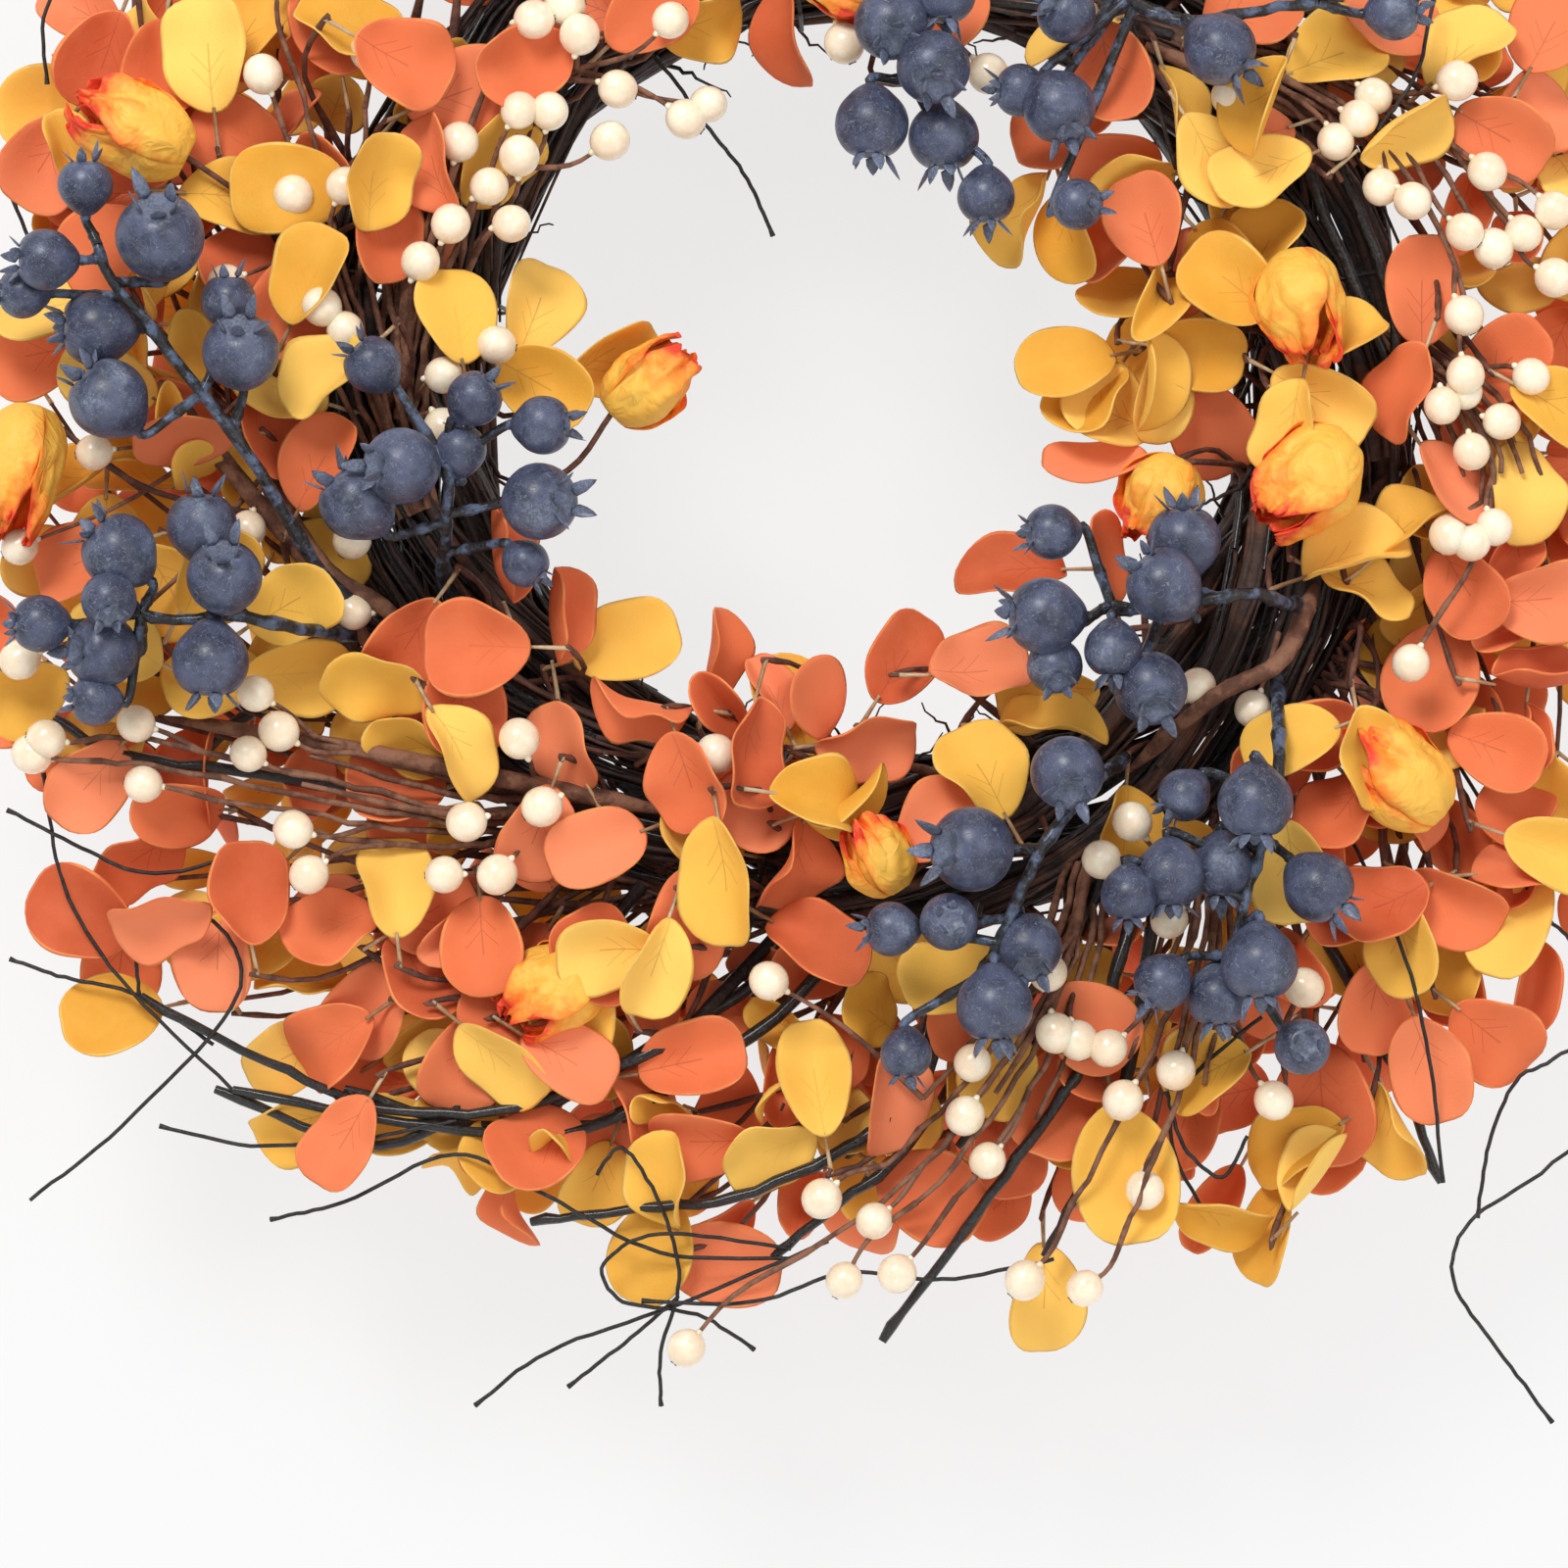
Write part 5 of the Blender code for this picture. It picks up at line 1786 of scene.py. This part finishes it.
WIRES = [
    [(-230, -155, 20), (-215, -160, 21), (-195, -165, 22), (-175, -178, 22)],
    [(-195, -165, 22), (-195, -150, 26), (-185, -140, 28), (-170, -150, 27), (-170, -168, 26),
     (-200, -200, 20), (-225, -220, 18)],
    [(-220, -105, 28), (-215, -135, 24), (-200, -160, 24), (-170, -190, 22)],
    [(-230, -115, 26), (-210, -125, 27), (-190, -132, 28), (-160, -125, 26)],
    [(-190, -200, 18), (-165, -205, 22), (-135, -203, 26), (-110, -198, 26)],
    [(-160, -225, 20), (-140, -220, 24), (-110, -207, 29), (-85, -218, 32), (-55, -233, 31),
     (-20, -235, 29)],
    [(-105, -275, 20), (-85, -260, 24), (-50, -247, 29), (-10, -230, 30)],
    [(-80, -270, 20), (-65, -258, 24), (-50, -245, 28)],
    [(-55, -275, 20), (-55, -260, 26), (-50, -240, 31), (-55, -220, 33), (-65, -205, 34), (-72, -212, 33)],
    [(-30, -260, 20), (-45, -250, 27), (-65, -246, 32), (-70, -236, 33), (-55, -228, 33), (-20, -232, 30)],
    [(-60, -246, 30), (-30, -246, 34), (-5, -238, 35), (20, -240, 34), (50, -235, 30)],
    [(185, -280, 16), (170, -260, 18), (158, -242, 20), (162, -226, 20), (185, -210, 18), (215, -180, 14),
     (200, -130, 6), (135, -60, 2)],
    [(165, -225, 14), (168, -205, 16), (175, -188, 18), (185, -182, 18), (205, -165, 12), (180, -120, 4),
     (130, -75, 0)],
    [(155, -215, 20), (150, -180, 30), (142, -150, 30), (120, -100, 12)],
    [(95, -230, 18), (82, -205, 26), (85, -188, 32), (105, -170, 36)],
    [(80, -190, 30), (85, -205, 30), (95, -213, 28), (102, -202, 28)],
    [(-25, 40, 12), (-32, 55, 16), (-42, 68, 18), (-55, 85, 20), (-80, 110, 8)],
    [(150, 100, 44), (145, 80, 48), (135, 65, 46)],
    [(70, 95, 40), (76, 75, 42), (82, 55, 38)],
    [(-220, 80, 20), (-220, 100, 22), (-205, 120, 19), (-170, 125, 14), (-120, 95, 6)],
    [(-230, 50, 14), (-220, 25, 18), (-210, -5, 16)],
    [(190, -150, 16), (180, -140, 20), (170, -120, 20), (140, -70, 6)],
]


@dataclass
class BlackTwigs:
    """Bare black twigs, thin stiff wires and thick wrapped stems."""

    thick: float = 1.9
    wire: float = 0.55
    wrapped: float = 2.7

    def build(self, finishes: Finishes) -> None:
        """Builds the twigs, the wires and the thick stems."""
        rng = random.Random(41)
        for name, routes in BLACK_TWIGS.items():
            twigs = Strands(f"black_twigs_{name}", 2)
            for route in routes:
                line = wander(smooth_line(rooted(route, SECTION), 6), 0.45, rng)
                radii = knobbly(tapered(len(line), self.thick, self.thick * 0.62), 4, 1.12)
                radii[-2:] = [radii[-1] * 1.25, radii[-1] * 0.9]
                twigs.add(line, radii)
            twigs.finish("base", "black_stem", [f"black_twig_{name}"], finishes["black_twig"])
        wires = Strands("loose_wires", 2)
        for route in WIRES:
            line = wander(smooth_line([seat(*point) for point in route], 8), 0.22, rng)
            radii = tapered(len(line), self.wire, self.wire)
            radii[0] *= 1.4
            wires.add(line, radii)
        wires.finish("base", "black_stem", [], finishes["wire"])
        wrapped = Strands("wrapped_stems", 3)
        for route in THICK_STEMS:
            line = smooth_line([seat(*point) for point in route], 14)
            radii = knobbly(tapered(len(line), self.wrapped, self.wrapped * 0.7), 3, 1.06)
            for i in range(4):
                radii[i] *= 0.4 + 0.15 * i
                radii[-1 - i] *= 0.3 + 0.17 * i
            wrapped.add(line, radii)
        wrapped.finish("base", "twig", [], finishes["paper_stem"])


# ---------------------------------------------------------------------------
# Studio


@dataclass
class Studio:
    """A pale wall and floor, soft light from the front, and the camera."""

    distance: float = 1.6
    lens: float = 135.0
    aim: tuple[float, float] = (-0.022, -0.2085)
    wall: float = 0.075
    floor: float = -1.2
    sheet: float = 2.0
    sky: float = 0.55
    glow: float = 0.74

    def build(self) -> None:
        """Builds the studio."""
        scene = bpy.context.scene
        self._backdrop()
        world = bpy.data.worlds.new("studio")
        world.use_nodes = True
        sky = world.node_tree.nodes["Background"]
        sky.inputs[0].default_value = (1.0, 1.0, 1.0, 1.0)
        sky.inputs[1].default_value = self.sky
        scene.world = world
        self._light("key", (-0.6, -1.9, 1.2), 38.0, 0.8)
        self._light("fill", (1.0, -1.6, 0.1), 8.0, 1.3)
        self._light("rear", (0.0, 1.6, 0.6), 10.0, 1.6)
        camera = bpy.data.cameras.new("camera")
        camera.lens = self.lens
        camera.sensor_width = 36.0
        camera.clip_start, camera.clip_end = 0.05, 20.0
        view = bpy.data.objects.new("camera", camera)
        view.location = (self.aim[0], -self.distance, self.aim[1])
        view.rotation_euler = (math.pi / 2, 0.0, 0.0)
        scene.collection.objects.link(view)
        scene.camera = view
        scene.view_settings.view_transform = "Standard"

    def _light(self, name: str, place: Point, power: float, size: float) -> None:
        """Adds a soft square light that looks at the wreath.

        Args:
            name: The light's name.
            place: Where it stands, in metres.
            power: Its power in watts.
            size: The side of the square in metres.
        """
        lamp = bpy.data.lights.new(name, "AREA")
        lamp.energy = power
        lamp.size = size
        obj = bpy.data.objects.new(name, lamp)
        obj.location = place
        look = CENTRE - Vector(place)
        obj.rotation_euler = look.to_track_quat("-Z", "Y").to_euler()
        bpy.context.scene.collection.objects.link(obj)

    def _backdrop(self) -> None:
        """Adds the wall behind the wreath and the floor below it."""
        bm = bmesh.new()
        bmesh.ops.create_grid(bm, x_segments=1, y_segments=1, size=self.sheet)
        turn = Matrix.Rotation(math.pi / 2, 4, "X")
        bmesh.ops.transform(bm, verts=bm.verts, matrix=Matrix.Translation((0, self.wall, 0)) @ turn)
        self._stage_mesh("wall", bm)
        bm = bmesh.new()
        bmesh.ops.create_grid(bm, x_segments=1, y_segments=1, size=self.sheet)
        bmesh.ops.translate(bm, verts=bm.verts, vec=(0, 0, self.floor))
        self._stage_mesh("floor", bm)

    def _stage_mesh(self, name: str, bm: bmesh.types.BMesh) -> None:
        """Adds a pale sheet that lets light and views through from behind."""
        mesh = bpy.data.meshes.new(name)
        bm.to_mesh(mesh)
        bm.free()
        material, tree, shader = new_material(name)
        where = node(tree, "ShaderNodeTexCoord").outputs["Object"]
        tone = node(tree, "ShaderNodeTexNoise", {"Vector": where, "Scale": 1.5, "Detail": 2.0}).outputs[0]
        plug(tree, shader.inputs["Base Color"], mixed(tree, tone, srgb(112, 112, 112), srgb(117, 117, 117)))
        shader.inputs["Roughness"].default_value = 0.9
        shader.inputs["Emission Color"].default_value = (1.0, 1.0, 1.0, 1.0)
        shader.inputs["Emission Strength"].default_value = self.glow
        clear = node(tree, "ShaderNodeBsdfTransparent")
        behind = node(tree, "ShaderNodeNewGeometry").outputs["Backfacing"]
        shadow = node(tree, "ShaderNodeLightPath").outputs["Is Shadow Ray"]
        share = sums(tree, "MAXIMUM", behind, shadow)
        both = node(tree, "ShaderNodeMixShader", {0: share, 1: shader.outputs[0], 2: clear.outputs[0]})
        plug(tree, tree.nodes["Material Output"].inputs["Surface"], both.outputs[0])
        mesh.materials.append(material)
        obj = bpy.data.objects.new(name, mesh)
        bpy.context.scene.collection.objects.link(obj)


def main() -> None:
    """Builds the wreath and the studio."""
    logging.basicConfig(level=logging.INFO)
    finishes = Finishes()
    for part in (TwigBase(), CreamBerries(), FlowerBuds(), BlackTwigs(), BlueberryPicks(), LeafSprays()):
        part.build(finishes)
    Studio().build()


if __name__ == "__main__":
    main()
